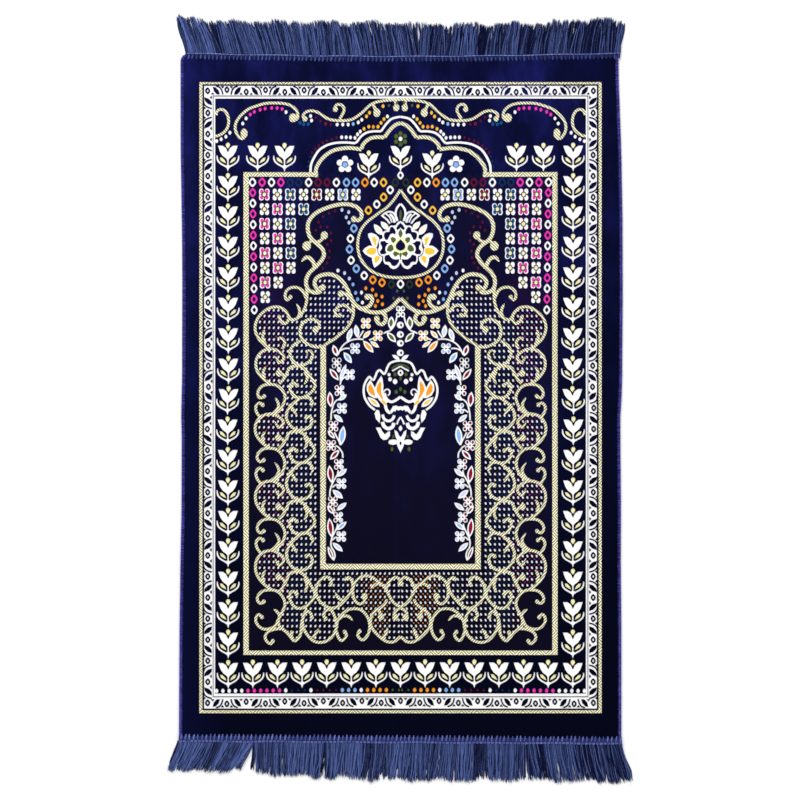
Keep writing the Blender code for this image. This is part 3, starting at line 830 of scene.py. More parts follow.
def medallion_flower():
    """The flower in the medallion: a white lobed mass with dark cells, green petals and a ring of
    gold round its heart, and leaves on both sides."""
    for shape in MEDALLION_LEAVES:
        cored_leaf(*shape, belly=0.45, rim=1.9)
    for shape, core in SIDE_LEAVES:
        put_pair(WHITE, points(*shape))
        put_pair(YELLOW, points(*core))
    put(WHITE, completed(points(*FLOWER_MASS)))
    for cell in FLOWER_CELLS:
        put_pair(PILE, points(*cell))
    for width, *stops in FLOWER_LINES:
        put_pair(WHITE, *stroke(points(*stops), width))
    for petal in FLOWER_PETALS:
        put_pair(GREEN, points(*petal))
    put(GREEN, oval(MIRROR_COLUMN, 214.8, 1.4, 5.4, 8))
    ring = points(*HEART_RING)
    put(PILE, completed(ring))
    put_pair(CREAM, *stroke(ring, 2.6))


LAMP_LINES = (                             # white lines of the lamp: width, then stops
    (2.4, 400.5, 360.4, 395, 361.2, 390, 363.2, 387.4, 367.2, 386, 371.2, 384, 374, 381.4, 371.4,
     379.4, 370, 377, 372, 375.4, 376.2, 373.4, 380, 371.4, 379, 369.4, 376.6, 366.4, 380.2, 364.2, 385.2,
     363.5, 391, 364.5, 396.8, 367, 401.8, 370.4, 406.2, 375.2, 410),
    (1.8, 392, 371, 396, 368.8, 400.5, 366.3),
    (1.7, 383.4, 392.6, 385, 390, 387.6, 389.2, 389.7, 391, 389.4, 394, 387.6, 395.4),
    (2.9, 384.6, 393, 385.6, 397.4, 388.4, 400.6, 392, 401.8, 396, 400, 400.5, 396.8),
    (3.2, 385, 403.6, 386.6, 409.6, 389.6, 412.6, 392.4, 410.2, 394.6, 406.2),
    (3, 382.6, 414.4, 384.2, 418.8, 388.5, 421, 392.4, 419.2, 394.4, 415.2),
    (3.8, 382.6, 421.6, 384, 426, 388.2, 428.6, 392.6, 426.6, 393.8, 422.6),
    (1.9, 400.5, 416.8, 398.2, 420.6, 396.8, 424.4),
)
LAMP_MASSES = (                            # white shapes of the lamp's foot and upper leaves
    (390.4, 410.8, 392.2, 407.2, 395.4, 405.2, 398.6, 406.4, 400.8, 406, 400.8, 409.4, 398.4, 410.8,
     396.8, 409.4, 395.2, 411.8, 392.6, 410.4),
    (370, 379.6, 366.8, 384.4, 366.4, 390, 369, 395.2, 373.4, 397.8, 377.4, 398.4, 376.8, 393, 374.6, 387.2,
     371.8, 382),
    (381.2, 375.4, 377.2, 381.6, 374.6, 388, 375.2, 394, 378.8, 399.8, 384.4, 405.4, 388.2, 402, 385.2, 398,
     383.2, 392, 383.5, 386, 382.7, 379),
    (376.5, 409.5, 374.5, 413.5, 376, 419, 379.8, 423.2, 380.6, 416, 379.2, 410.2),
    (375.6, 427.4, 380.5, 427.4, 382.6, 431.5, 384.9, 434.3, 388, 431.4, 390.2, 431, 390, 436, 387, 439.6,
     383.5, 440.2, 380.4, 437.6, 378.4, 432.6),
    (394.2, 429.4, 397.4, 431.6, 399.2, 435.6, 400.8, 437.2, 400.8, 441.4, 396.8, 440, 395, 435),
    (398, 437.6, 396, 441.6, 397.6, 446.8, 400.8, 453.2, 400.8, 437.6),
)
LAMP_CORES = (                             # the orange cores of the upper leaves
    (370, 383.2, 368.1, 387, 368.5, 391.5, 371.4, 394.6, 375.2, 396.2, 374.6, 392, 372.6, 387.3),
    (380.2, 381, 377.5, 385, 376.2, 390, 378.5, 394.4, 382.6, 400.2, 383, 397.6, 381.2, 393, 381.2, 388,
     381.4, 383.5),
)
LAMP_LEAVES = (                            # as VINE_LEAVES
    (399.6, 359.4, 392, 354.8, 4, None), (380, 407, 367.2, 396.8, 6, YELLOW),
)


def lamp():
    """The hanging lamp: a lobed white outline with leaves inside, a foot of leaves and a drop."""
    for width, *stops in LAMP_LINES:
        put_pair(WHITE, *stroke(points(*stops), width))
    for mass in LAMP_MASSES:
        put_pair(WHITE, points(*mass))
    for shape in LAMP_LEAVES:
        cored_leaf(*shape, belly=0.45, rim=1.8)
    for core in LAMP_CORES:
        put_pair(ORANGE, points(*core))
    put_pair(YELLOW, leaf((386.6, 405.2), (381.4, 399.6), 2.6))
    put_pair(WHITE, oval(389.0, 374.6, 1.7, 1.9, 9), oval(390.0, 379.2, 2.0, 2.3, 9),
             oval(395.0, 381.5, 2.6, 3.0, 8, 1.6), oval(393.0, 442.0, 4.8, 2.9))
    put_pair(GREEN, *stroke(points(391.6, 368.8, 395.6, 365.8, 400.5, 364.2), 1.9))
    put_pair(GREEN, oval(395.0, 374.2, 1.7, 2.3, 8), oval(396.2, 391.8, 1.8, 2.2, 8),
             oval(392.0, 449.0, 1.6, 2.5, 8), oval(393.4, 436.4, 1.3, 1.8, 8))
    put(GREEN, oval(MIRROR_COLUMN, 378.5, 1.3, 2.2, 8), oval(MIRROR_COLUMN, 389.0, 1.6, 2.3, 8))
    put(WHITE, oval(MIRROR_COLUMN, 372.8, 3.1, 3.4, 12, 1.7), oval(MIRROR_COLUMN, 428.2, 2.0, 3.1, 8, 1.4))
    put(PILE, oval(MIRROR_COLUMN, 372.8, 0.9, 1.2, 8), oval(MIRROR_COLUMN, 443.2, 0.9, 1.8, 8))


def draw_chart():
    """Lay every motif on the chart, in the order in which they cover each other."""
    for motif in (border_frames, glyph_band, tulips, foot_beads, dotted_ground, scrolls,
                  frame_and_arch, beads, rings, flower_grid, medallion_flower, vines, hanging_beads,
                  arch_flowers, lamp):
        motif()


# ---------------------------------------------------------------- cloth
BACKING_TOP = 1.7 * MM        # heights above the cloth's own rise
WEAVE_HEIGHT = 2.0 * MM
PILE_HEIGHT = 3.0 * MM
GRID_STEP = 8.0 * MM          # between the points that are added where no motif has any
CUT_SCALE = 1000.0            # the chart is cut in millimetres
CUT_TOLERANCE = 1e-4
CUT_ALL, CUT_INSIDE = 0, 1    # which triangles the cutting keeps
PLAN_DIGITS = 6               # CAD corners this near, in decimals of a metre, are one

FOLD_ROW = 398.5              # the rug was folded along this row
FOLD_STEP = 0.8               # columns by which the pattern steps sideways at the fold
FOLD_REACH = (3.0, 60.0)      # rows over which that step comes, and over which it dies away
SHIFT_SPAN = 200.0            # columns from the middle at which it is full
BEND_SPAN = (199.0, 403.0)    # first column and width of the rows' bend
ROW_BEND = ((0.9, 82.0, 90.0), (1.6, 713.0, 60.0))     # rows up or down, row where it is full, its reach
FOLD_RIDGE = (0.55, 0.006)    # height in mm, half width
CROSS_RIDGE = (0.35, 0.006)
CROSS_FOLD_X = 0.001
RIDGE_WANDER = 0.002
REST_GAP = 0.36               # mm; keeps the swells above the floor


def to_plan(chart):
    """Chart points as X and Y, with the small sideways step that the fold left in the pattern and
    the slow bend of its upper and lower rows."""
    column, row = chart[:, 0], chart[:, 1]
    from_fold = row - FOLD_ROW
    away = np.clip((MIRROR_COLUMN - column) / SHIFT_SPAN, -1.0, 1.0)
    step = np.tanh(from_fold / FOLD_REACH[0]) * np.exp(-np.abs(from_fold) / FOLD_REACH[1])
    column = column - FOLD_STEP * step * away
    bend = np.sin(math.pi * np.clip((column - BEND_SPAN[0]) / BEND_SPAN[1], 0.0, 1.0))
    (upper, top, upper_reach), (lower, bottom, lower_reach) = ROW_BEND
    row = row + bend * (upper * np.exp(-(row - top) / upper_reach)
                        - lower * np.exp(-(bottom - row) / lower_reach))
    return np.column_stack(((column - CENTRE_COLUMN) * CHART_STEP, (CENTRE_ROW - row) * CHART_STEP))


def rise(x, y):
    """How far the cloth lies above flat, worked out in mm: slow swells, as sines, and the soft
    ridges of two old folds, height * exp(-(distance / half width) ** 2), that wander a little."""
    swell = 0.22 * np.sin(9.0 * x + 1.3) * np.sin(6.0 * y + 0.4) + 0.14 * np.sin(17.0 * y - 11.0 * x)
    fold, width = FOLD_RIDGE
    fold = fold * np.exp(-((y + RIDGE_WANDER * np.sin(8.0 * x)) / width) ** 2)
    cross, width = CROSS_RIDGE
    cross = cross * np.exp(-((x - CROSS_FOLD_X + RIDGE_WANDER * np.sin(6.0 * y)) / width) ** 2)
    return (REST_GAP + swell + fold + cross) * MM


def plan_corners(places):
    """The different places among CAD corners seen from above."""
    return np.unique(np.round(np.array(places), PLAN_DIGITS), axis=0)


def plan_outline(node):
    """The outline of a flat CAD piece from above: the points of its upright faces, in order of
    their bearing from the middle."""
    mesh = node.data
    upright = [face for face in mesh.polygons if abs(face.normal.z) < 0.5]
    corners = sorted({index for face in upright for index in face.vertices})
    places = plan_corners([mesh.vertices[index].co[:2] for index in corners])
    spokes = places - places.mean(axis=0)
    return places[np.argsort(np.arctan2(spokes[:, 1], spokes[:, 0]))]


def strip_rows(node, along):
    """Rows of a narrow CAD strip: place along axis `along`, then its lower and higher edge across."""
    places = plan_corners([vertex.co[:2] for vertex in node.data.vertices])
    places = places[np.argsort(places[:, along], kind="stable")].reshape(-1, 2, 2)
    across = places[:, :, 1 - along]
    return np.column_stack((places[:, :, along].mean(axis=1), across.min(axis=1), across.max(axis=1)))


def anticlockwise(polygon):
    """The polygon with its inside on the left of its way round, as the cutting needs it."""
    after = np.roll(polygon, -1, axis=0)
    area = (polygon[:, 0] * after[:, 1] - after[:, 0] * polygon[:, 1]).sum()
    return polygon if area > 0.0 else polygon[::-1]


def cut(outline, polygons, step, keep):
    """Cut an outline into triangles along polygons and through a grid of points inside it. Returns
    points, triangles, and for each triangle the number of the last polygon over it, the outline
    being number 0 and -1 standing for none."""
    low, high = outline.min(axis=0), outline.max(axis=0)
    x, y = np.meshgrid(np.arange(low[0], high[0], step), np.arange(low[1], high[1], step))
    grid = np.column_stack((x.ravel(), y.ravel()))
    polygons = [outline] + polygons
    starts = np.cumsum([0] + [len(polygon) for polygon in polygons])
    loops = [list(range(start, end)) for start, end in zip(starts[:-1], starts[1:])]
    corners = np.concatenate(polygons + [grid[inside(outline, grid)]]) * CUT_SCALE
    made = delaunay_2d_cdt([tuple(corner) for corner in corners], [], loops, keep, CUT_TOLERANCE, True)
    over = np.array([max(owners, default=-1) for owners in made[5]])
    return np.array([tuple(vertex) for vertex in made[0]]) / CUT_SCALE, np.array(made[2]), over


def cut_chart(outline):
    """Cut the chart along all outlines. Returns plan points, triangles and each one's colour."""
    plans = [anticlockwise(to_plan(polygon)) for _, polygon in shapes]
    flat, triangles, over = cut(outline, plans, GRID_STEP, CUT_ALL)
    colours = np.array([PILE] + [colour for colour, _ in shapes])
    return flat, triangles[over >= 0], colours[over[over >= 0]]


def add_piece(name, vertices, faces, material):
    """A smooth mesh piece that rides on the rug, with a flat map from above for its texture."""
    mesh = bpy.data.meshes.new(name)
    mesh.from_pydata(vertices.tolist(), [], faces.tolist())
    mesh.update()
    mesh.polygons.foreach_set("use_smooth", np.ones(len(mesh.polygons), bool))
    corner = np.zeros(len(mesh.loops), np.int32)
    mesh.loops.foreach_get("vertex_index", corner)
    low, high = vertices.min(axis=0), vertices.max(axis=0)
    span = max(high[0] - low[0], high[1] - low[1])
    flat_map = mesh.uv_layers.new(name="OFBake")
    flat_map.data.foreach_set("uv", ((vertices[corner, :2] - low[:2]) / span).ravel().astype(np.float32))
    mesh.materials.append(material)
    piece = bpy.data.objects.new(name, mesh)
    bpy.context.scene.collection.objects.link(piece)
    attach(piece, "root")
    return piece


def compact(flat, triangles):
    """Only the points that the triangles use, and the triangles renumbered to them."""
    used, numbered = np.unique(triangles, return_inverse=True)
    return flat[used], numbered.reshape(triangles.shape)


def lift(flat, height, share=1.0):
    """Plan points at a height above the cloth's own rise, or above a share of it."""
    return np.column_stack((flat, rise(flat[:, 0], flat[:, 1]) * share + height))


def open_edges(triangles):
    """The edges that only one triangle has, each in that triangle's direction."""
    edges = np.concatenate((triangles[:, (0, 1)], triangles[:, (1, 2)], triangles[:, (2, 0)]))
    low, high = np.sort(edges, axis=1).T
    _, first, times = np.unique(low * (high.max() + 1) + high, return_index=True, return_counts=True)
    return edges[first[times == 1]]


def wall(rim, upper, lower):
    """Two triangles under each edge of a rim; its points are numbered from `upper` above and from
    `lower` below."""
    a, b = rim.T
    return np.concatenate((np.column_stack((b + upper, a + upper, a + lower)),
                           np.column_stack((b + upper, a + lower, b + lower))))


def weave_patch(name, flat, triangles, material):
    """The flat weave of one yarn: its triangles at the height of the weave."""
    used, faces = compact(flat, triangles)
    return add_piece(name, lift(used, WEAVE_HEIGHT), faces, material)


def pile_patch(name, flat, triangles, material):
    """The pile: its triangles at full height, and a wall down to the ground weave along every open
    edge."""
    used, faces = compact(flat, triangles)
    rim_used, rim = compact(flat, open_edges(triangles))
    vertices = np.concatenate((lift(used, PILE_HEIGHT), lift(rim_used, PILE_HEIGHT),
                               lift(rim_used, BACKING_TOP)))
    walls = wall(rim, len(used), len(used) + len(rim_used))
    return add_piece(name, vertices, np.concatenate((faces, walls)), material)


# ---------------------------------------------------------------- materials
def node(tree, kind, inputs=None, **settings):
    """A shader node with its settings and its input values or links."""
    made = tree.nodes.new(kind)
    for name, value in settings.items():
        setattr(made, name, value)
    for key, value in (inputs or {}).items():
        if isinstance(value, bpy.types.NodeSocket):
            tree.links.new(value, made.inputs[key])
        else:
            made.inputs[key].default_value = value
    return made


def maths(tree, operation, *values):
    """One arithmetic node on values or links."""
    return node(tree, "ShaderNodeMath", dict(enumerate(values)), operation=operation).outputs[0]


def plus(tree, *values):
    """The sum of two values or links."""
    return maths(tree, "ADD", *values)


def minus(tree, *values):
    """The first value or link less the second."""
    return maths(tree, "SUBTRACT", *values)


def times(tree, *values):
    """The product of two values or links."""
    return maths(tree, "MULTIPLY", *values)


def distance(tree, value, place):
    """How far a value lies from a place, either way."""
    return maths(tree, "ABSOLUTE", minus(tree, value, place))


def ratio(tree, *values):
    """The first value or link over the second."""
    return maths(tree, "DIVIDE", *values)


def zigzag(tree, phase):
    """Up from 0 to 0.5 and back, once for every whole step of the phase."""
    return maths(tree, "PINGPONG", phase, 0.5)


def noise(tree, vector, scale, detail, roughness=0.5):
    """Noise with `scale` cycles to the metre."""
    return node(tree, "ShaderNodeTexNoise", {"Vector": vector, "Scale": scale, "Detail": detail,
                                             "Roughness": roughness}).outputs[0]


def ramp(tree, value, start, end, low=0.0, high=1.0, easing="LINEAR"):
    """`low` up to the start, `high` from the end on, and an even or eased slope between."""
    inputs = {"Value": value, "From Min": start, "From Max": end, "To Min": low, "To Max": high}
    return node(tree, "ShaderNodeMapRange", inputs, interpolation_type=easing).outputs[0]


def blend_colours(tree, share, first, second, way="MIX"):
    """A mix of two colours by a share. A mix node has sockets of one name for each kind of value,
    so the ones for colours, 6 and 7, and the colour that comes out, 2, are taken by number."""
    return node(tree, "ShaderNodeMix", {0: share, 6: first, 7: second}, data_type="RGBA",
                blend_type=way).outputs[2]


def new_group(name, inputs):
    """An empty node group with named inputs (name, kind, value) that gives a colour and a height."""
    group = bpy.data.node_groups.new(name, "ShaderNodeTree")
    for label, kind, value in inputs:
        made = group.interface.new_socket(label, in_out="INPUT", socket_type="NodeSocket" + kind)
        made.default_value = value
    for label, kind in (("Color", "Color"), ("Height", "Float")):
        group.interface.new_socket(label, in_out="OUTPUT", socket_type="NodeSocket" + kind)
    return group, group.nodes.new("NodeGroupInput").outputs


def close_group(group, colour, height):
    """Give a group its two results."""
    node(group, "NodeGroupOutput", {"Color": colour, "Height": height})
    return group


def plan_place(tree):
    """Object coordinates as separate X and Y links, and the vector."""
    vector = node(tree, "ShaderNodeTexCoord").outputs["Object"]
    split = node(tree, "ShaderNodeSeparateXYZ", {0: vector}).outputs
    return split[0], split[1], vector


TWILL_WOBBLE = (220.0, 0.45)  # scale of the noise, and how many pitches it moves the diagonals
TWILL_GROOVE = (0.32, 0.62)   # heights on the zigzag between which groove turns to ridge
PICK_LENGTH = 1.7             # along the rib, in its pitches
PICK_DEPTH = 0.6
RIB_FUZZ = (900.0, 0.6)       # scale and strength
# painted shade in the grooves between ribs: the colour is multiplied by this there
RIB_SHADE = (0.45, 0.45, 0.5, 1.0)
RIB_LEVEL = 1.2


def make_twill_group():
    """Diagonal twill of two yarns. The diagonals turn over from one zone to the next along X or Y,
    and with a zone longer than the rug they all run one way."""
    group, given = new_group("Twill", (
        ("Light", "Color", (1, 1, 1, 1)), ("Dark", "Color", (0, 0, 0, 1)), ("Pitch", "Float", 0.005),
        ("Zone", "Float", 10.0), ("Across", "Float", 0.0), ("Contrast", "Float", 0.8)))
    x, y, vector = plan_place(group)
    along = plus(group, times(group, x, given["Across"]), times(group, y, minus(group, 1.0, given["Across"])))
    zone = maths(group, "FLOOR", ratio(group, along, given["Zone"]))
    turn = minus(group, 1.0, times(group, 2.0, maths(group, "FLOORED_MODULO", zone, 2.0)))
    diagonal = ratio(group, plus(group, x, times(group, turn, y)), given["Pitch"])
    wobble = times(group, noise(group, vector, TWILL_WOBBLE[0], 1.0), TWILL_WOBBLE[1])
    height = times(group, 2.0, zigzag(group, plus(group, diagonal, wobble)))
    ridge = ramp(group, height, *TWILL_GROOVE, easing="SMOOTHSTEP")
    share = times(group, minus(group, 1.0, ridge), given["Contrast"])
    return close_group(group, blend_colours(group, share, given["Light"], given["Dark"]), ridge)


def make_rib_group():
    """Fine ribs of a plain weave in one yarn: bars across the rug, each broken into picks, with
    painted shade in the grooves between them.
    """
    group, given = new_group("Fine ribs", (
        ("Color", "Color", (1, 1, 1, 1)), ("Pitch", "Float", 0.0014), ("Depth", "Float", 0.12)))
    x, y, vector = plan_place(group)
    rib = zigzag(group, ratio(group, y, given["Pitch"]))
    pick = zigzag(group, ratio(group, x, times(group, given["Pitch"], PICK_LENGTH)))
    height = plus(group, rib, times(group, pick, PICK_DEPTH))
    fuzz = times(group, noise(group, vector, RIB_FUZZ[0], 2.0), RIB_FUZZ[1])
    # painted shade, deepest in the grooves
    shade = times(group, given["Depth"], minus(group, RIB_LEVEL, plus(group, height, fuzz)))
    dark = blend_colours(group, 1.0, given["Color"], RIB_SHADE, "MULTIPLY")
    return close_group(group, blend_colours(group, shade, given["Color"], dark), height)


# Cloudy patches of painted sheen on the velvet, where the pile leans to the light
CLOUDS = ((26.0, 4.0, 0.62, 0.65), (7.0, 2.0, 0.5, 0.35))     # scale, detail, roughness, share
CLOUD_STRETCH = (1.0, 0.45, 1.0)
CLOUD_EDGE = (0.42, 0.72)
GRAIN = (1400.0, 0.55, 0.9)   # scale, lowest strength, how much the grain adds
LIT_LEAST = 0.25              # how much painted sheen the pile has between the clouds
UPPER_LIGHT = (-0.3, 0.45, 0.02, 1.0)     # painted light towards the upper end, along Y: from, to, the share at each end
LEFT_LIGHT = (-0.335, -0.26, 0.3, 0.04)   # painted light towards the left, along X
RIGHT_SHADE = (0.29, 0.335, 1.0, 0.4)     # painted shade towards the right, along X
FOLD_LINE = (0.0004, 0.0011, 0.3)         # place, half width, strength of the painted highlight along a fold
CROSS_LINE = (-0.006, 0.006, 0.4)
WINDOW = ((0.192, 0.022), (0.235, 0.09))  # |X| and Y of two patches by the flower grids: middle, half size
WINDOW_EDGE = 0.012


def make_nap_group():
    """Velvet with painted sheen: cloudy patches of painted sheen where the pile leans to the light,
    stronger towards the upper end and a little towards the left and weaker at the right edge, painted
    highlights along two old folds, and a fine grain. In two patches by the flower grids the coloured
    yarn under the pile shows through."""
    group, given = new_group("Nap and painted sheen", (
        ("Deep", "Color", (0, 0, 0, 1)), ("Painted sheen", "Color", (0, 0, 1, 1)), ("Amount", "Float", 0.6),
        ("Showing through", "Color", (0, 0, 0, 1))))
    x, y, vector = plan_place(group)
    stretched = node(group, "ShaderNodeMapping", {"Vector": vector, "Scale": CLOUD_STRETCH}).outputs[0]
    cloud, broad = (noise(group, place, *look[:3]) for place, look in zip((stretched, vector), CLOUDS))
    grain = noise(group, vector, GRAIN[0], 2.0)
    clouds = plus(group, times(group, cloud, CLOUDS[0][3]), times(group, broad, CLOUDS[1][3]))
    patch = ramp(group, clouds, *CLOUD_EDGE, easing="SMOOTHSTEP")
    # painted light: more sheen towards the upper end and the left, less at the right edge
    upper = times(group, ramp(group, y, *UPPER_LIGHT), ramp(group, x, *RIGHT_SHADE))
    lit = plus(group, times(group, plus(group, patch, LIT_LEAST), upper), ramp(group, x, *LEFT_LIGHT))
    # painted highlights along the two old folds
    fold, cross = (ramp(group, distance(group, value, place), 0.0, width, strength, 0.0)
                   for value, (place, width, strength) in ((y, FOLD_LINE), (x, CROSS_LINE)))
    crease_highlights = plus(group, times(group, fold, cloud), times(group, cross, upper))
    share = times(group, plus(group, lit, crease_highlights), given["Amount"])
    grainy = times(group, share, plus(group, GRAIN[1], times(group, grain, GRAIN[2])))
    # the painted sheen colour laid over the deep colour
    nap = blend_colours(group, grainy, given["Deep"], given["Painted sheen"])
    aside, upwards = (ramp(group, distance(group, value, middle), half, half + WINDOW_EDGE, 1.0, 0.0)
                      for value, (middle, half) in zip((maths(group, "ABSOLUTE", x), y), WINDOW))
    tinted = blend_colours(group, 1.0, nap, given["Showing through"], "ADD")
    return close_group(group, blend_colours(group, times(group, aside, upwards), nap, tinted), grain)


FIBRE = (2.0, 0.6)            # detail, roughness
TONE_SHARE = 0.7
FIBRE_SHARE = 0.55
TONE_OFFSET = 0.15


def make_ply_group():
    """Twisted yarn: each yarn's colour lies between dark and light by its own tone, and its fibres
    vary that."""
    group, given = new_group("Twisted yarn", (
        ("Dark", "Color", (0, 0, 0, 1)), ("Light", "Color", (1, 1, 1, 1)), ("Scale", "Float", 500.0)))
    tone = node(group, "ShaderNodeAttribute", attribute_name="tone").outputs["Fac"]
    vector = node(group, "ShaderNodeTexCoord").outputs["Object"]
    fibre = noise(group, vector, given["Scale"], *FIBRE)
    share = plus(group, times(group, tone, TONE_SHARE), times(group, fibre, FIBRE_SHARE))
    share = node(group, "ShaderNodeClamp", {0: minus(group, share, TONE_OFFSET)}).outputs[0]
    return close_group(group, blend_colours(group, share, given["Dark"], given["Light"]), fibre)


TWILL = make_twill_group()
RIBS = make_rib_group()
NAP = make_nap_group()
PLY = make_ply_group()
RELIEF_STRENGTH = 0.7
SHEEN_ROUGHNESS = 0.45


def linear(red, green, blue):
    """A colour given as screen values from 0 to 255, as the shader's linear values."""
    shares = [value / 255.0 for value in (red, green, blue)]
    return tuple(s / 12.92 if s <= 0.04045 else ((s + 0.055) / 1.055) ** 2.4 for s in shares) + (1.0,)


def cloth_material(name, group, values, rough, relief=0.3 * MM, sheen=0.0, tint=(255, 255, 255), gloss=0.15):
    """A matt cloth whose colour and relief come from a shared group. Colours, here and among the
    values, are screen values."""
    material = bpy.data.materials.new(name)
    material.use_nodes = True
    tree = material.node_tree
    shader = tree.nodes["Principled BSDF"]
    values = {key: linear(*value) if isinstance(value, tuple) else value for key, value in values.items()}
    effect = node(tree, "ShaderNodeGroup", node_tree=group)
    for key, value in values.items():
        effect.inputs[key].default_value = value
    bump = node(tree, "ShaderNodeBump", {"Height": effect.outputs["Height"], "Distance": relief,
                                         "Strength": RELIEF_STRENGTH})
    tree.links.new(effect.outputs["Color"], shader.inputs["Base Color"])
    tree.links.new(bump.outputs[0], shader.inputs["Normal"])
    for key, value in (("Roughness", rough), ("Specular IOR Level", gloss), ("Sheen Weight", sheen),
                       ("Sheen Roughness", SHEEN_ROUGHNESS), ("Sheen Tint", linear(*tint))):
        shader.inputs[key].default_value = value
    return material


GOLD_LIGHT = (255, 251, 216)               # colours are screen values from here on
GOLD_DARK = (88, 78, 20)
TWILL_PITCH = 4.6 * MM
ZONE = 11.6 * MM
ONE_WAY = 10.0                             # a zone longer than the rug
GOLD_WEAVES = (                            # colour, piece, material, zone, whether the zones follow X
    (GOLD, "gold_scrolls", "gold twill", ONE_WAY, 0.0), (ROPE, "gold_ropes", "gold rope", ZONE, 0.0),
    (BAR, "gold_bars", "gold bar", ZONE, 1.0),
)
YARNS = (                                  # colour, piece, slot, screen colour
    (WHITE, "white_weave", "white_yarn", (255, 254, 255)),
    (CREAM, "cream_weave", "gold_yarn", (250, 244, 186)),
    (MAGENTA, "magenta_weave", "magenta_yarn", (240, 55, 180)),
    (TEAL, "teal_weave", "teal_yarn", (0, 84, 136)),
    # dim teal, red and green: darker yarn colours, laid at the same height as the rest of the weave
    (DIM_TEAL, "dim_teal_weave", "teal_yarn", (6, 42, 86)),
    (SKY, "sky_weave", "sky_yarn", (136, 182, 240)),
    (PALE, "pale_weave", "sky_yarn", (196, 213, 243)),
    (RED, "red_weave", "red_yarn", (132, 8, 48)),
    (DIM_RED, "dim_red_weave", "red_yarn", (98, 10, 46)),
    (ORANGE, "orange_weave", "orange_yarn", (252, 155, 35)),
    (YELLOW, "yellow_weave", "orange_yarn", (252, 194, 58)),
    (GREEN, "green_weave", "green_yarn", (78, 98, 38)),
    (DIM_GREEN, "dim_green_weave", "green_yarn", (34, 50, 34)),
)
# the colour of the painted sheen on the velvet
VELVET_PAINTED_SHEEN = (24, 27, 92)
VELVET_AMOUNT = 0.62                       # how far the painted sheen colour comes through at most
VELVET_TINT = (90, 90, 200)
VELVETS = (                                # piece, material, colour without the painted sheen, colour showing through
    ("velvet_border", "border velvet", (3, 5, 17), (0, 0, 0)),
    ("velvet_field", "field velvet", (11, 9, 22), (12, 0, 16)),
)
YARN_TINT = (160, 170, 255)
YARN_LOOKS = {                             # dark, light, roughness, relief, sheen, gloss
    "edging yarn": ((28, 26, 92), (88, 80, 190), 0.7, 0.2 * MM, 0.2, 0.15),
    "fringe yarn": ((5, 9, 44), (84, 102, 162), 0.8, 0.2 * MM, 0.04, 0.06),
    "top loop yarn": ((12, 20, 72), (70, 86, 146), 0.65, 0.2 * MM, 0.1, 0.15),
    "bottom loop yarn": ((36, 46, 110), (108, 122, 190), 0.65, 0.2 * MM, 0.1, 0.15),
    "stitch yarn": ((72, 82, 150), (128, 138, 204), 0.65, 0.2 * MM, 0.1, 0.15),
    "top band yarn": ((12, 18, 60), (30, 40, 98), 0.8, 0.3 * MM, 0.0, 0.15),
    "bottom band yarn": ((26, 34, 86), (56, 68, 130), 0.8, 0.3 * MM, 0.0, 0.15),
}
GROUND_LOOK = {"Color": (24, 22, 62), "Pitch": 2.2 * MM, "Depth": 0.8}
GROUND_RISE = 0.8                          # the share of the cloth's rise that its ground weave follows


def build_cloth():
    """The cloth: backing, pile and the flat weave of every yarn. Returns the backing and the rest."""
    outline = plan_outline(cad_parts["rug"])
    draw_chart()
    flat, triangles, colours = cut_chart(outline)
    middle = flat[triangles].mean(axis=1)
    (left, top), (right, foot) = to_plan(points(FRAME_LEFT, FRAME_TOP, both(FRAME_LEFT)[1], FRAME_FOOT))
    x, y = middle.T
    in_field = (x > left) & (x < right) & (y < top) & (y > foot)
    rest = []
    for (name, label, deep, through), place in zip(VELVETS, (~in_field, in_field)):
        values = {"Deep": deep, "Painted sheen": VELVET_PAINTED_SHEEN, "Amount": VELVET_AMOUNT,
                  "Showing through": through}
        velvet = cloth_material(label, NAP, values, rough=1.0, relief=0.2 * MM, sheen=0.03, tint=VELVET_TINT,
                                gloss=0.02)
        rest.append(pile_patch(name, flat, triangles[(colours == PILE) & place], velvet))
    for colour, name, label, zone, across in GOLD_WEAVES:
        values = {"Light": GOLD_LIGHT, "Dark": GOLD_DARK, "Pitch": TWILL_PITCH, "Zone": zone,
                  "Across": across}
        twill = cloth_material(label, TWILL, values, rough=0.9, relief=0.5 * MM)
        rest.append(weave_patch(name, flat, triangles[colours == colour], twill))
    for colour, name, slot, screen in YARNS:
        ribs = cloth_material(name.replace("_", " "), RIBS, {"Color": screen}, rough=0.85)
        rest.append(weave_patch(name, flat, triangles[colours == colour], ribs))
    return build_backing(outline), rest


def build_backing(outline):
    """The ground weave: a closed thin sheet under pile and pattern, flat on the floor, its two
    faces cut through a grid of points every two GRID_STEPs."""
    flat, top, _ = cut(outline, [], 2.0 * GRID_STEP, CUT_INSIDE)
    count = len(flat)
    lower = np.column_stack((flat, np.zeros(count)))
    vertices = np.concatenate((lift(flat, BACKING_TOP, GROUND_RISE), lower))
    faces = np.concatenate((top, top[:, ::-1] + count, wall(open_edges(top), 0, count)))
    ground = cloth_material("ground weave", RIBS, GROUND_LOOK, rough=0.95)
    return add_piece("ground_weave", vertices, faces, ground)


# ---------------------------------------------------------------- yarns
rng = np.random.default_rng(7)
ENDS = ("top", "bottom")
YARN_LOWEST = 0.05 * MM       # no yarn sinks into what the rug lies on
UPRIGHT = 1e-3                # a yarn with less than this share of its way level has no side of its own

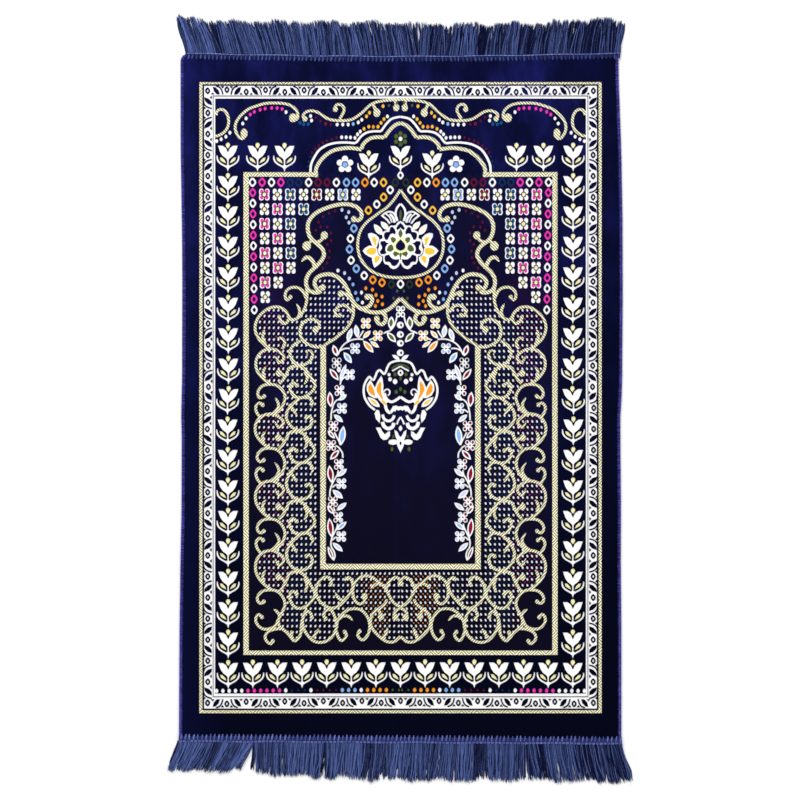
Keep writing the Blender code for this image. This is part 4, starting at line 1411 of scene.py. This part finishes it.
FRINGE_LIE = {                # share of the way across, sideways lean of the tip, length (mm)
    "top": ((0.00, -17.0, 55.0), (0.10, -17.0, 49.0), (0.22, -12.0, 50.0), (0.36, -8.0, 51.0),
            (0.52, -9.0, 49.0), (0.56, 5.0, 47.0), (0.80, 7.0, 47.0), (0.93, 8.0, 52.0),
            (1.00, 4.0, 49.0)),
    "bottom": ((0.00, -18.0, 41.0), (0.08, -22.0, 45.0), (0.168, -20.0, 42.0), (0.172, -2.0, 47.0),
               (0.40, -6.0, 55.0), (0.60, -5.0, 56.0), (0.76, 0.0, 55.0), (0.80, 8.0, 55.0),
               (1.00, 15.0, 58.0)),
}
FRINGE_PARTINGS = {           # share of the way across, how wide the yarns stand apart there (mm)
    "top": ((0.26, 2.0), (0.54, 4.0), (0.88, 2.0)),
    "bottom": ((0.17, 5.5), (0.33, 3.0), (0.58, 1.5), (0.78, 3.0), (0.95, 2.0)),
}
PARTING_REACH = 0.02          # share of the way across over which a parting dies away
FRINGE_TONE = {               # share of the way across, tone: painted shade, darker towards the right side
    "top": ((0.0, -0.06), (0.5, -0.24), (1.0, -0.56)),
    "bottom": ((0.0, 0.12), (0.6, 0.0), (0.85, -0.16), (1.0, -0.42)),
}
LENGTH_SWELLS = ((2.0, 61.0, 0.0), (1.5, 143.0, 1.0))      # size (mm), rate, start
LEAN_SWELLS = ((1.6, 83.0, 0.0), (1.4, 197.0, 2.0))
TONE_SWELLS = ((0.14, 53.0, 0.0), (0.12, 127.0, 1.0))      # size (tone), rate, start
LEAN_SPREAD = 2.0 * MM
LENGTH_SPREAD = 4.0 * MM
LENGTH_EXTRA = 3.0 * MM       # so that the spread, which only shortens, leaves the mean about as it was
STRANDS = 330                 # yarns in each of a fringe's three layers
STRAND_FIRST = (0.3, 0.33)    # place of a layer's first yarn, and how far on the next layer's is, in pitches
WANDERS = ((5.0, 1.3 * MM), (13.0, 0.35 * MM))     # rate and size of each yarn's two sideways sines
STRAND_HEIGHT = (1.2 * MM, 0.8 * MM)       # of the lowest layer, and of each more
STRAND_WAVE = (7.0, 0.35 * MM)             # rate and size of the yarns' rise and fall
STRAND_DROOP = 0.2            # share of its height that a yarn loses on its way out
LEAN_POWER = 1.2
STRAND_STATIONS = 13
STRAND_RADIUS = 0.86 * MM
STRAND_TAPER = ((0.0, 0.8, 0.93, 1.0), (0.9, 1.0, 0.8, 0.15))     # share of the way out, of the radius
STRAND_PLY = {"twist": 900.0, "ply": 0.22}
LAYER_TONES = ((-0.2, 0.1), (-0.1, 0.55), (0.0, 1.25))     # from the lowest layer up; the lower layers darker, painted shade under the ones above
UNDER_WIDTH = 3.1 * MM        # half width of the flat yarns under the fringe
UNDER_TAPER = ((0.0, 0.8, 1.0), (1.0, 0.9, 0.15))
UNDER_HEIGHT = 0.75 * MM
UNDER_SHORTER = 4.0 * MM
UNDER_SHAPE = {"flatness": 0.2}
# dark tones of the flat yarns under the fringe: painted shade under the layers above
UNDER_TONE = (-0.1, 0.2)
FRAYS = 3                     # fibres at each yarn's tip
FRAY_STATIONS = 4
FRAY_SPREAD = 1.8 * MM
FRAY_RADII = np.array((0.22, 0.198, 0.154, 0.088)) * MM
FRAY_LOWEST = 0.3 * MM

ROOT_DEPTH = 1.5 * MM         # how far in under the heading the yarns start
HEADING_BASE = PILE_HEIGHT + 0.3 * MM
BAND_STATIONS = 160
BAND_OUTER = np.array(((0.3, 0.0), (0.6, 0.8), (2.6, 1.0))) * MM      # profile: inwards, up
BAND_INNER = np.array(((1.5, 0.7), (1.0, 0.2))) * MM   # past the loops' start and past their length, up
LOOP_PITCH = {"top": 6.1 * MM, "bottom": 6.2 * MM}
LOOP_START = {"top": 3.6 * MM, "bottom": 4.2 * MM}     # in from the heading's outer edge
LOOP_LENGTH = {"top": 6.2 * MM, "bottom": 8.0 * MM}
LOOP_SLANT = {"top": -0.9 * MM, "bottom": 1.3 * MM}    # sideways; at the top it turns over at the middle
LOOP_RISE = (0.35 * MM, 0.95 * MM)         # lowest height above the base, and how far they swell
LOOP_SPAN = (0.16, 0.86)      # where on its half sine a loop starts, and how much of it it follows
LOOP_STATIONS = 8
LOOP_RADIUS = 1.35 * MM
LOOP_TAPER = ((0.0, 0.2, 0.8, 1.0), (0.7, 0.95, 1.0, 0.45))
LOOP_SHAPE = {"twist": 700.0, "ply": 0.18, "flatness": 0.75}
LOOP_DARKER = (0.1, -0.3)     # what the loops' tone gains at the left end and at the right one: painted shade to the right
CHAIN_PITCH = {"top": 5.8 * MM, "bottom": 5.6 * MM}
CHAIN_SIZE = {"top": (2.7 * MM, 0.25 * MM), "bottom": (1.9 * MM, 1.0 * MM)}   # half length, half width
CHAIN_INSET = 1.7 * MM
CHAIN_WANDER = (60.0, 0.4 * MM)            # rate along X, size
CHAIN_RISE = (1.05 * MM, 0.3 * MM)         # mean height above the base, and how far the ends lie off it
CHAIN_RADIUS = 0.5 * MM
CHAIN_STATIONS = 9

STITCH_PITCH = 2.3 * MM       # between the overcast stitches of the sides
STITCH_WIDTH = 4.4 * MM
STITCH_SLANT = 1.3 * MM
STITCH_STATIONS = 9
STITCH_RADIUS = 0.85 * MM
STITCH_TAPER = ((0.0, 0.5, 2.6, 3.2), (0.55, 1.0, 1.0, 0.55))     # bearing round the edge, of the radius
STITCH_MIDDLE = 1.95 * MM     # above the floor
STITCH_HALF_HEIGHT = 1.35 * MM
STITCH_OUTSET = 0.9 * MM      # from the CAD edge to the stitches' outermost middles
STITCH_MARGIN = 1.0 * MM      # bare at each end of the side


def tubes(name, routes, radii, material, slot, sides=6, twist=0.0, ply=0.0, flatness=1.0, tone=None):
    """Many yarns in one piece. routes is (yarns, stations, 3), radii (yarns, stations). A ring of
    points lies across the route at each station, at radius * (1 + ply * cos 2(angle - turn)), so
    that with a ply the section is a two-ply oval that turns `twist` radians per metre."""
    ahead = np.gradient(routes, axis=1)
    ahead /= np.maximum(np.linalg.norm(ahead, axis=2, keepdims=True), TINY)
    aside = np.cross(ahead, (0.0, 0.0, 1.0))
    size = np.linalg.norm(aside, axis=2, keepdims=True)
    aside = np.where(size > UPRIGHT, aside / np.maximum(size, TINY), (1.0, 0.0, 0.0))
    over = np.cross(aside, ahead)
    steps = np.linalg.norm(np.diff(routes, axis=1), axis=2)
    run = np.concatenate((np.zeros((len(routes), 1)), np.cumsum(steps, axis=1)), axis=1)
    angle = math.tau * np.arange(sides) / sides
    turn = (run * twist)[:, :, None]
    reach = radii[:, :, None] * (1.0 + ply * np.cos(2.0 * (angle - turn)))
    ring = (aside[:, :, None, :] * (np.cos(angle) * reach)[..., None]
            + over[:, :, None, :] * (flatness * np.sin(angle) * reach)[..., None])
    vertices = (routes[:, :, None, :] + ring).reshape(-1, 3)
    vertices[:, 2] = np.maximum(vertices[:, 2], YARN_LOWEST)
    yarns, stations = routes.shape[:2]
    y, s, k = np.meshgrid(np.arange(yarns), np.arange(stations - 1), np.arange(sides), indexing="ij")
    here = (y * stations + s) * sides + k
    beside = (y * stations + s) * sides + (k + 1) % sides
    faces = np.stack((here, here + sides, beside + sides, beside), axis=-1).reshape(-1, 4)
    piece = add_piece(name, vertices, faces, material)
    tones = np.repeat(rng.random(yarns) if tone is None else tone, stations * sides).astype(np.float32)
    layer = piece.data.attributes.new("tone", "FLOAT", "POINT")
    layer.data.foreach_set("value", tones)
    return piece


def outward(end):
    """+1 towards the top end, -1 towards the bottom end."""
    return 1.0 if end == "top" else -1.0


def heading_edge(end, rows, x):
    """Y of the heading's outer edge at X."""
    return np.interp(x, rows[:, 0], rows[:, 2] if end == "top" else rows[:, 1])


def spaced(rows, pitch):
    """Middles of as many even stretches of a strip as the pitch gives."""
    start, length = rows[0, 0], rows[-1, 0] - rows[0, 0]
    count = int(length / pitch)
    return start + (np.arange(count) + 0.5) * length / count


def swells(share, waves):
    """A sum of sines along a fringe: size * sin(rate * share + start)."""
    return sum(size * np.sin(rate * share + start) for size, rate, start in waves)


def fringe_routes(end, layer, rows):
    """The way of each yarn: it starts under the heading, leans as lean * share ** LEAN_POWER of its
    way out, and wanders by two sines of its own. Lean and length also swell and shrink along the
    fringe, so that the yarns gather in tufts, and the yarns lean away from each parting."""
    out = outward(end)
    left, right = rows[0, 0], rows[-1, 0]
    share = (np.arange(STRANDS) + STRAND_FIRST[0] + STRAND_FIRST[1] * layer) / STRANDS
    places, leans, lengths = np.array(FRINGE_LIE[end]).T
    lean = np.interp(share, places, leans) * MM + rng.normal(0.0, LEAN_SPREAD, STRANDS)
    length = np.interp(share, places, lengths) * MM
    length = length - np.abs(rng.normal(0.0, LENGTH_SPREAD, STRANDS)) + LENGTH_EXTRA
    length = length + swells(share, LENGTH_SWELLS) * MM
    lean = lean + swells(share, LEAN_SWELLS) * MM
    for place, width in FRINGE_PARTINGS[end]:
        apart = (share - place) / PARTING_REACH
        lean = lean + width * MM * np.sign(apart) * np.exp(-np.abs(apart))
    x = left + share * (right - left)
    start = heading_edge(end, rows, x) - out * ROOT_DEPTH
    out_share = np.linspace(0.0, 1.0, STRAND_STATIONS)
    phases = rng.uniform(0.0, math.tau, (3, STRANDS, 1))
    (slow, far), (fast, near) = WANDERS
    wander = (np.sin(slow * out_share + phases[0]) - np.sin(phases[0])) * far * out_share
    wander = wander + np.sin(fast * out_share + phases[1]) * near * out_share
    height = STRAND_HEIGHT[0] + STRAND_HEIGHT[1] * layer
    height = height + STRAND_WAVE[1] * np.sin(STRAND_WAVE[0] * out_share + phases[2])
    return np.stack((x[:, None] + lean[:, None] * out_share ** LEAN_POWER + wander,
                     start[:, None] + out * out_share * length[:, None],
                     height * (1.0 - STRAND_DROOP * out_share)), axis=-1)


def build_fringe(end, material):
    """The fringe of one end: three layers of two-ply yarns, the lower ones darker (painted shade), over
    a layer of flat wide ones, with frayed fibres at the tips of the upper two layers."""
    rows = strip_rows(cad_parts["heading_" + end], 0)
    routes = np.concatenate([fringe_routes(end, layer, rows) for layer in range(len(LAYER_TONES))])
    out_share = np.linspace(0.0, 1.0, STRAND_STATIONS)
    taper = np.interp(out_share, *STRAND_TAPER)
    radii = STRAND_RADIUS * taper * rng.uniform(0.8, 1.1, (len(routes), 1))
    tone = np.concatenate([rng.uniform(*span, STRANDS) for span in LAYER_TONES])
    along = np.tile(np.arange(STRANDS) / STRANDS, len(LAYER_TONES))
    # painted shade: the tone falls towards the right side
    tone = tone + np.interp(along, *zip(*FRINGE_TONE[end])) + swells(along, TONE_SWELLS)
    piece = tubes("yarn_fringe_" + end, routes, radii, material, "fringe", tone=tone, **STRAND_PLY)
    under = fringe_routes(end, 0.5, rows)[::2]
    under[:, :, 1] -= out_share * outward(end) * UNDER_SHORTER
    under[:, :, 2] = UNDER_HEIGHT
    wide = UNDER_WIDTH * np.interp(out_share, *UNDER_TAPER) * np.ones((len(under), 1))
    fill = tubes("fringe_underlayer_" + end, under, wide, material, "fringe",
                 tone=rng.uniform(*UNDER_TONE, len(under)), **UNDER_SHAPE)
    fray = np.repeat(routes[STRANDS:, -FRAY_STATIONS:, :], FRAYS, axis=0)
    open_share = np.linspace(0.0, 1.0, FRAY_STATIONS)[None, :, None] ** 1.5
    fray[:, :, :2] += rng.normal(0.0, FRAY_SPREAD, (len(fray), 1, 2)) * open_share
    fray[:, :, 2] = np.maximum(fray[:, :, 2] * 0.8, FRAY_LOWEST)
    ends = tubes("frayed_ends_" + end, fray, np.tile(FRAY_RADII, (len(fray), 1)), material, "fringe", sides=3)
    return [piece, fill, ends]


def build_band(end, rows, material):
    """The heading's band: a low profile of straight stretches, carried along its outer edge."""
    profile = np.concatenate((BAND_OUTER, BAND_INNER + ((LOOP_START[end], 0.0), (LOOP_LENGTH[end], 0.0))))
    x = np.linspace(rows[0, 0], rows[-1, 0], BAND_STATIONS)[:, None] + np.zeros(len(profile))
    y = heading_edge(end, rows, x) - outward(end) * profile[:, 0]
    z = HEADING_BASE + profile[:, 1] + np.zeros_like(x)
    i, j = np.meshgrid(np.arange(BAND_STATIONS - 1), np.arange(len(profile) - 1), indexing="ij")
    here = (i * len(profile) + j).ravel()
    order = (here, here + 1, here + len(profile) + 1, here + len(profile))
    faces = np.column_stack(order if end == "bottom" else order[::-1])
    return add_piece("heading_band_" + end, np.stack((x, y, z), axis=-1).reshape(-1, 3), faces, material)


def build_loops(end, rows, material):
    """The heading's plump loops: each rises and sinks as a half sine to the power 0.7 on its
    slanting way inwards."""
    place = spaced(rows, LOOP_PITCH[end])
    loops = len(place)
    place = place + rng.normal(0.0, 0.35 * MM, loops)
    share = np.linspace(0.0, 1.0, LOOP_STATIONS)
    length = LOOP_LENGTH[end] * rng.uniform(0.9, 1.08, loops)
    slant = LOOP_SLANT[end] * (1.0 if end == "bottom" else np.sign(place))
    lean = rng.normal(0.0, 0.5 * MM, loops) - slant * outward(end)
    swell = np.sin(math.pi * np.clip(LOOP_SPAN[0] + LOOP_SPAN[1] * share, 0.0, 1.0)) ** 0.7
    start = heading_edge(end, rows, place) - outward(end) * LOOP_START[end]
    route = np.stack((place[:, None] + lean[:, None] * share,
                      start[:, None] - outward(end) * share * length[:, None],
                      np.tile(HEADING_BASE + LOOP_RISE[0] + LOOP_RISE[1] * swell, (loops, 1))), axis=-1)
    radii = LOOP_RADIUS * np.interp(share, *LOOP_TAPER) * rng.uniform(0.88, 1.1, (loops, 1))
    # painted shade: the loops' tone falls towards the right end
    tone = rng.uniform(0.15, 1.0, loops) + np.interp(place, rows[[0, -1], 0], LOOP_DARKER)
    return tubes("heading_loops_" + end, route, radii, material, "heading", tone=tone, **LOOP_SHAPE)


def build_chain(end, rows, material):
    """The chain stitch along the heading: ovals, a little wider at their left end, whose middles
    follow a slow sine, each higher at its right end, where it lies over the next."""
    place = spaced(rows, CHAIN_PITCH[end])
    turn = np.linspace(0.0, math.tau, CHAIN_STATIONS)
    half_length, half_width = CHAIN_SIZE[end]
    middle = heading_edge(end, rows, place) - outward(end) * CHAIN_INSET
    middle = middle + CHAIN_WANDER[1] * np.sin(place * CHAIN_WANDER[0])
    route = np.stack((place[:, None] + half_length * np.cos(turn),
                      middle[:, None] + half_width * np.sin(turn) * (1.0 - 0.35 * np.cos(turn)),
                      np.tile(HEADING_BASE + CHAIN_RISE[0] + CHAIN_RISE[1] * np.cos(turn),
                              (len(place), 1))), axis=-1)
    radii = np.full(route.shape[:2], CHAIN_RADIUS)
    return tubes("chain_stitch_" + end, route, radii, material, "heading", sides=5)


def build_heading(end, band, yarn, stitch):
    """The heading: a low band, a row of plump loops on the velvet and a chain stitch outside them."""
    rows = strip_rows(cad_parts["heading_" + end], 0)
    return [build_band(end, rows, band), build_loops(end, rows, yarn), build_chain(end, rows, stitch)]


def build_binding(side, material):
    """The overcast side: slanting stitches that wrap the cloth's edge from its face to its back.
    Each goes half round the edge by an angle: in = 1 - sin ** 0.75, up = cos ** 0.6."""
    rows = strip_rows(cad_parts["binding_" + side], 1)
    outer = rows[:, 1] if side == "left" else rows[:, 2]
    inward = 1.0 if side == "left" else -1.0
    count = int((rows[-1, 0] - rows[0, 0]) / STITCH_PITCH)
    place = np.linspace(rows[0, 0] + STITCH_MARGIN, rows[-1, 0] - STITCH_MARGIN, count)
    angle = np.linspace(0.0, math.pi, STITCH_STATIONS)
    edge = np.interp(place, rows[:, 0], outer)
    width = STITCH_WIDTH * rng.uniform(0.92, 1.1, count)
    up = np.sign(np.cos(angle)) * np.abs(np.cos(angle)) ** 0.6
    lifted = rise(edge, place)[:, None] * np.clip(np.cos(angle) + 0.2, 0.0, 1.0)
    across = STITCH_OUTSET + (1.0 - np.sin(angle) ** 0.75) * width[:, None]
    route = np.stack((edge[:, None] + inward * across,
                      place[:, None] + np.linspace(-1.0, 1.0, STITCH_STATIONS) * STITCH_SLANT,
                      STITCH_MIDDLE + STITCH_HALF_HEIGHT * up + lifted * 0.5), axis=-1)
    radii = np.tile(STITCH_RADIUS * np.interp(angle, *STITCH_TAPER), (count, 1))
    return tubes("overcast_" + side, route, radii, material, "edging", sides=5)


def main():
    backing, cloth = build_cloth()
    yarns = {name: cloth_material(name, PLY, {"Dark": dark, "Light": light}, rough, relief, sheen, YARN_TINT,
                                  gloss)
             for name, (dark, light, rough, relief, sheen, gloss) in YARN_LOOKS.items()}
    pieces = list(cloth)
    for piece in [backing] + cloth:
        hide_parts("rug")
    for side in ("left", "right"):
        stitches = build_binding(side, yarns["edging yarn"])
        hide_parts("binding_" + side)
        pieces.append(stitches)
    for end in ENDS:
        band, loops = yarns[end + " band yarn"], yarns[end + " loop yarn"]
        for piece in build_heading(end, band, loops, yarns["stitch yarn"]):
            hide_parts("heading_" + end)
            pieces.append(piece)
        for piece in build_fringe(end, yarns["fringe yarn"]):
            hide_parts("fringe_" + end)
            pieces.append(piece)
    build_studio()


# ---------------------------------------------------------------- floor, light, camera
FLOOR_SIZE = 12.0
FLOOR_DROP = 0.2 * MM         # below the rug, so that the two don't meet
FLOOR_COLOUR = (0.93, 0.93, 0.93, 1.0)
SKY_STRENGTH = 0.8
LIGHTS = (("key", (-0.9, 2.2, 1.9), 1.6, 46.0), ("fill", (1.6, -1.4, 2.6), 2.0, 18.0))   # place, size, W
CAMERA_HEIGHT = 3.2
VIEW_WIDTH = 1.2              # the width of the picture at the floor
VIEW_CENTRE = (1.05 * MM, -1.5 * MM)
SENSOR = 36.0                 # millimetres
FAR_LIMIT = 50.0


def build_studio():
    """A pale floor, soft light from all round, stronger from beyond the upper end, and a camera
    straight above."""
    bpy.ops.mesh.primitive_plane_add(size=FLOOR_SIZE, location=(0.0, 0.0, -FLOOR_DROP))
    floor = bpy.context.object
    floor.name = "floor"
    paint = bpy.data.materials.new("pale floor")
    paint.use_nodes = True
    shader = paint.node_tree.nodes["Principled BSDF"]
    for key, value in (("Base Color", FLOOR_COLOUR), ("Roughness", 1.0), ("Specular IOR Level", 0.0)):
        shader.inputs[key].default_value = value
    floor.data.materials.append(paint)

    world = bpy.data.worlds.new("studio")
    world.use_nodes = True
    for key, value in (("Color", (1.0, 1.0, 1.0, 1.0)), ("Strength", SKY_STRENGTH)):
        world.node_tree.nodes["Background"].inputs[key].default_value = value
    bpy.context.scene.world = world

    for name, place, size, power in LIGHTS:
        light = bpy.data.lights.new(name, "AREA")
        light.size = size
        light.energy = power
        lamp_object = bpy.data.objects.new(name, light)
        lamp_object.location = place
        aim = -np.array(place)
        lamp_object.rotation_euler = (
            math.atan2(math.hypot(aim[0], aim[1]), -aim[2]), 0.0, math.atan2(aim[1], aim[0]) - math.pi / 2)
        bpy.context.scene.collection.objects.link(lamp_object)

    lens = bpy.data.cameras.new("camera")
    lens.sensor_width = SENSOR
    lens.lens = SENSOR * CAMERA_HEIGHT / VIEW_WIDTH
    lens.clip_end = FAR_LIMIT
    camera = bpy.data.objects.new("camera", lens)
    camera.location = (VIEW_CENTRE[0], VIEW_CENTRE[1], CAMERA_HEIGHT)
    bpy.context.scene.collection.objects.link(camera)
    bpy.context.scene.camera = camera
    bpy.context.scene.view_settings.view_transform = "Standard"


main()
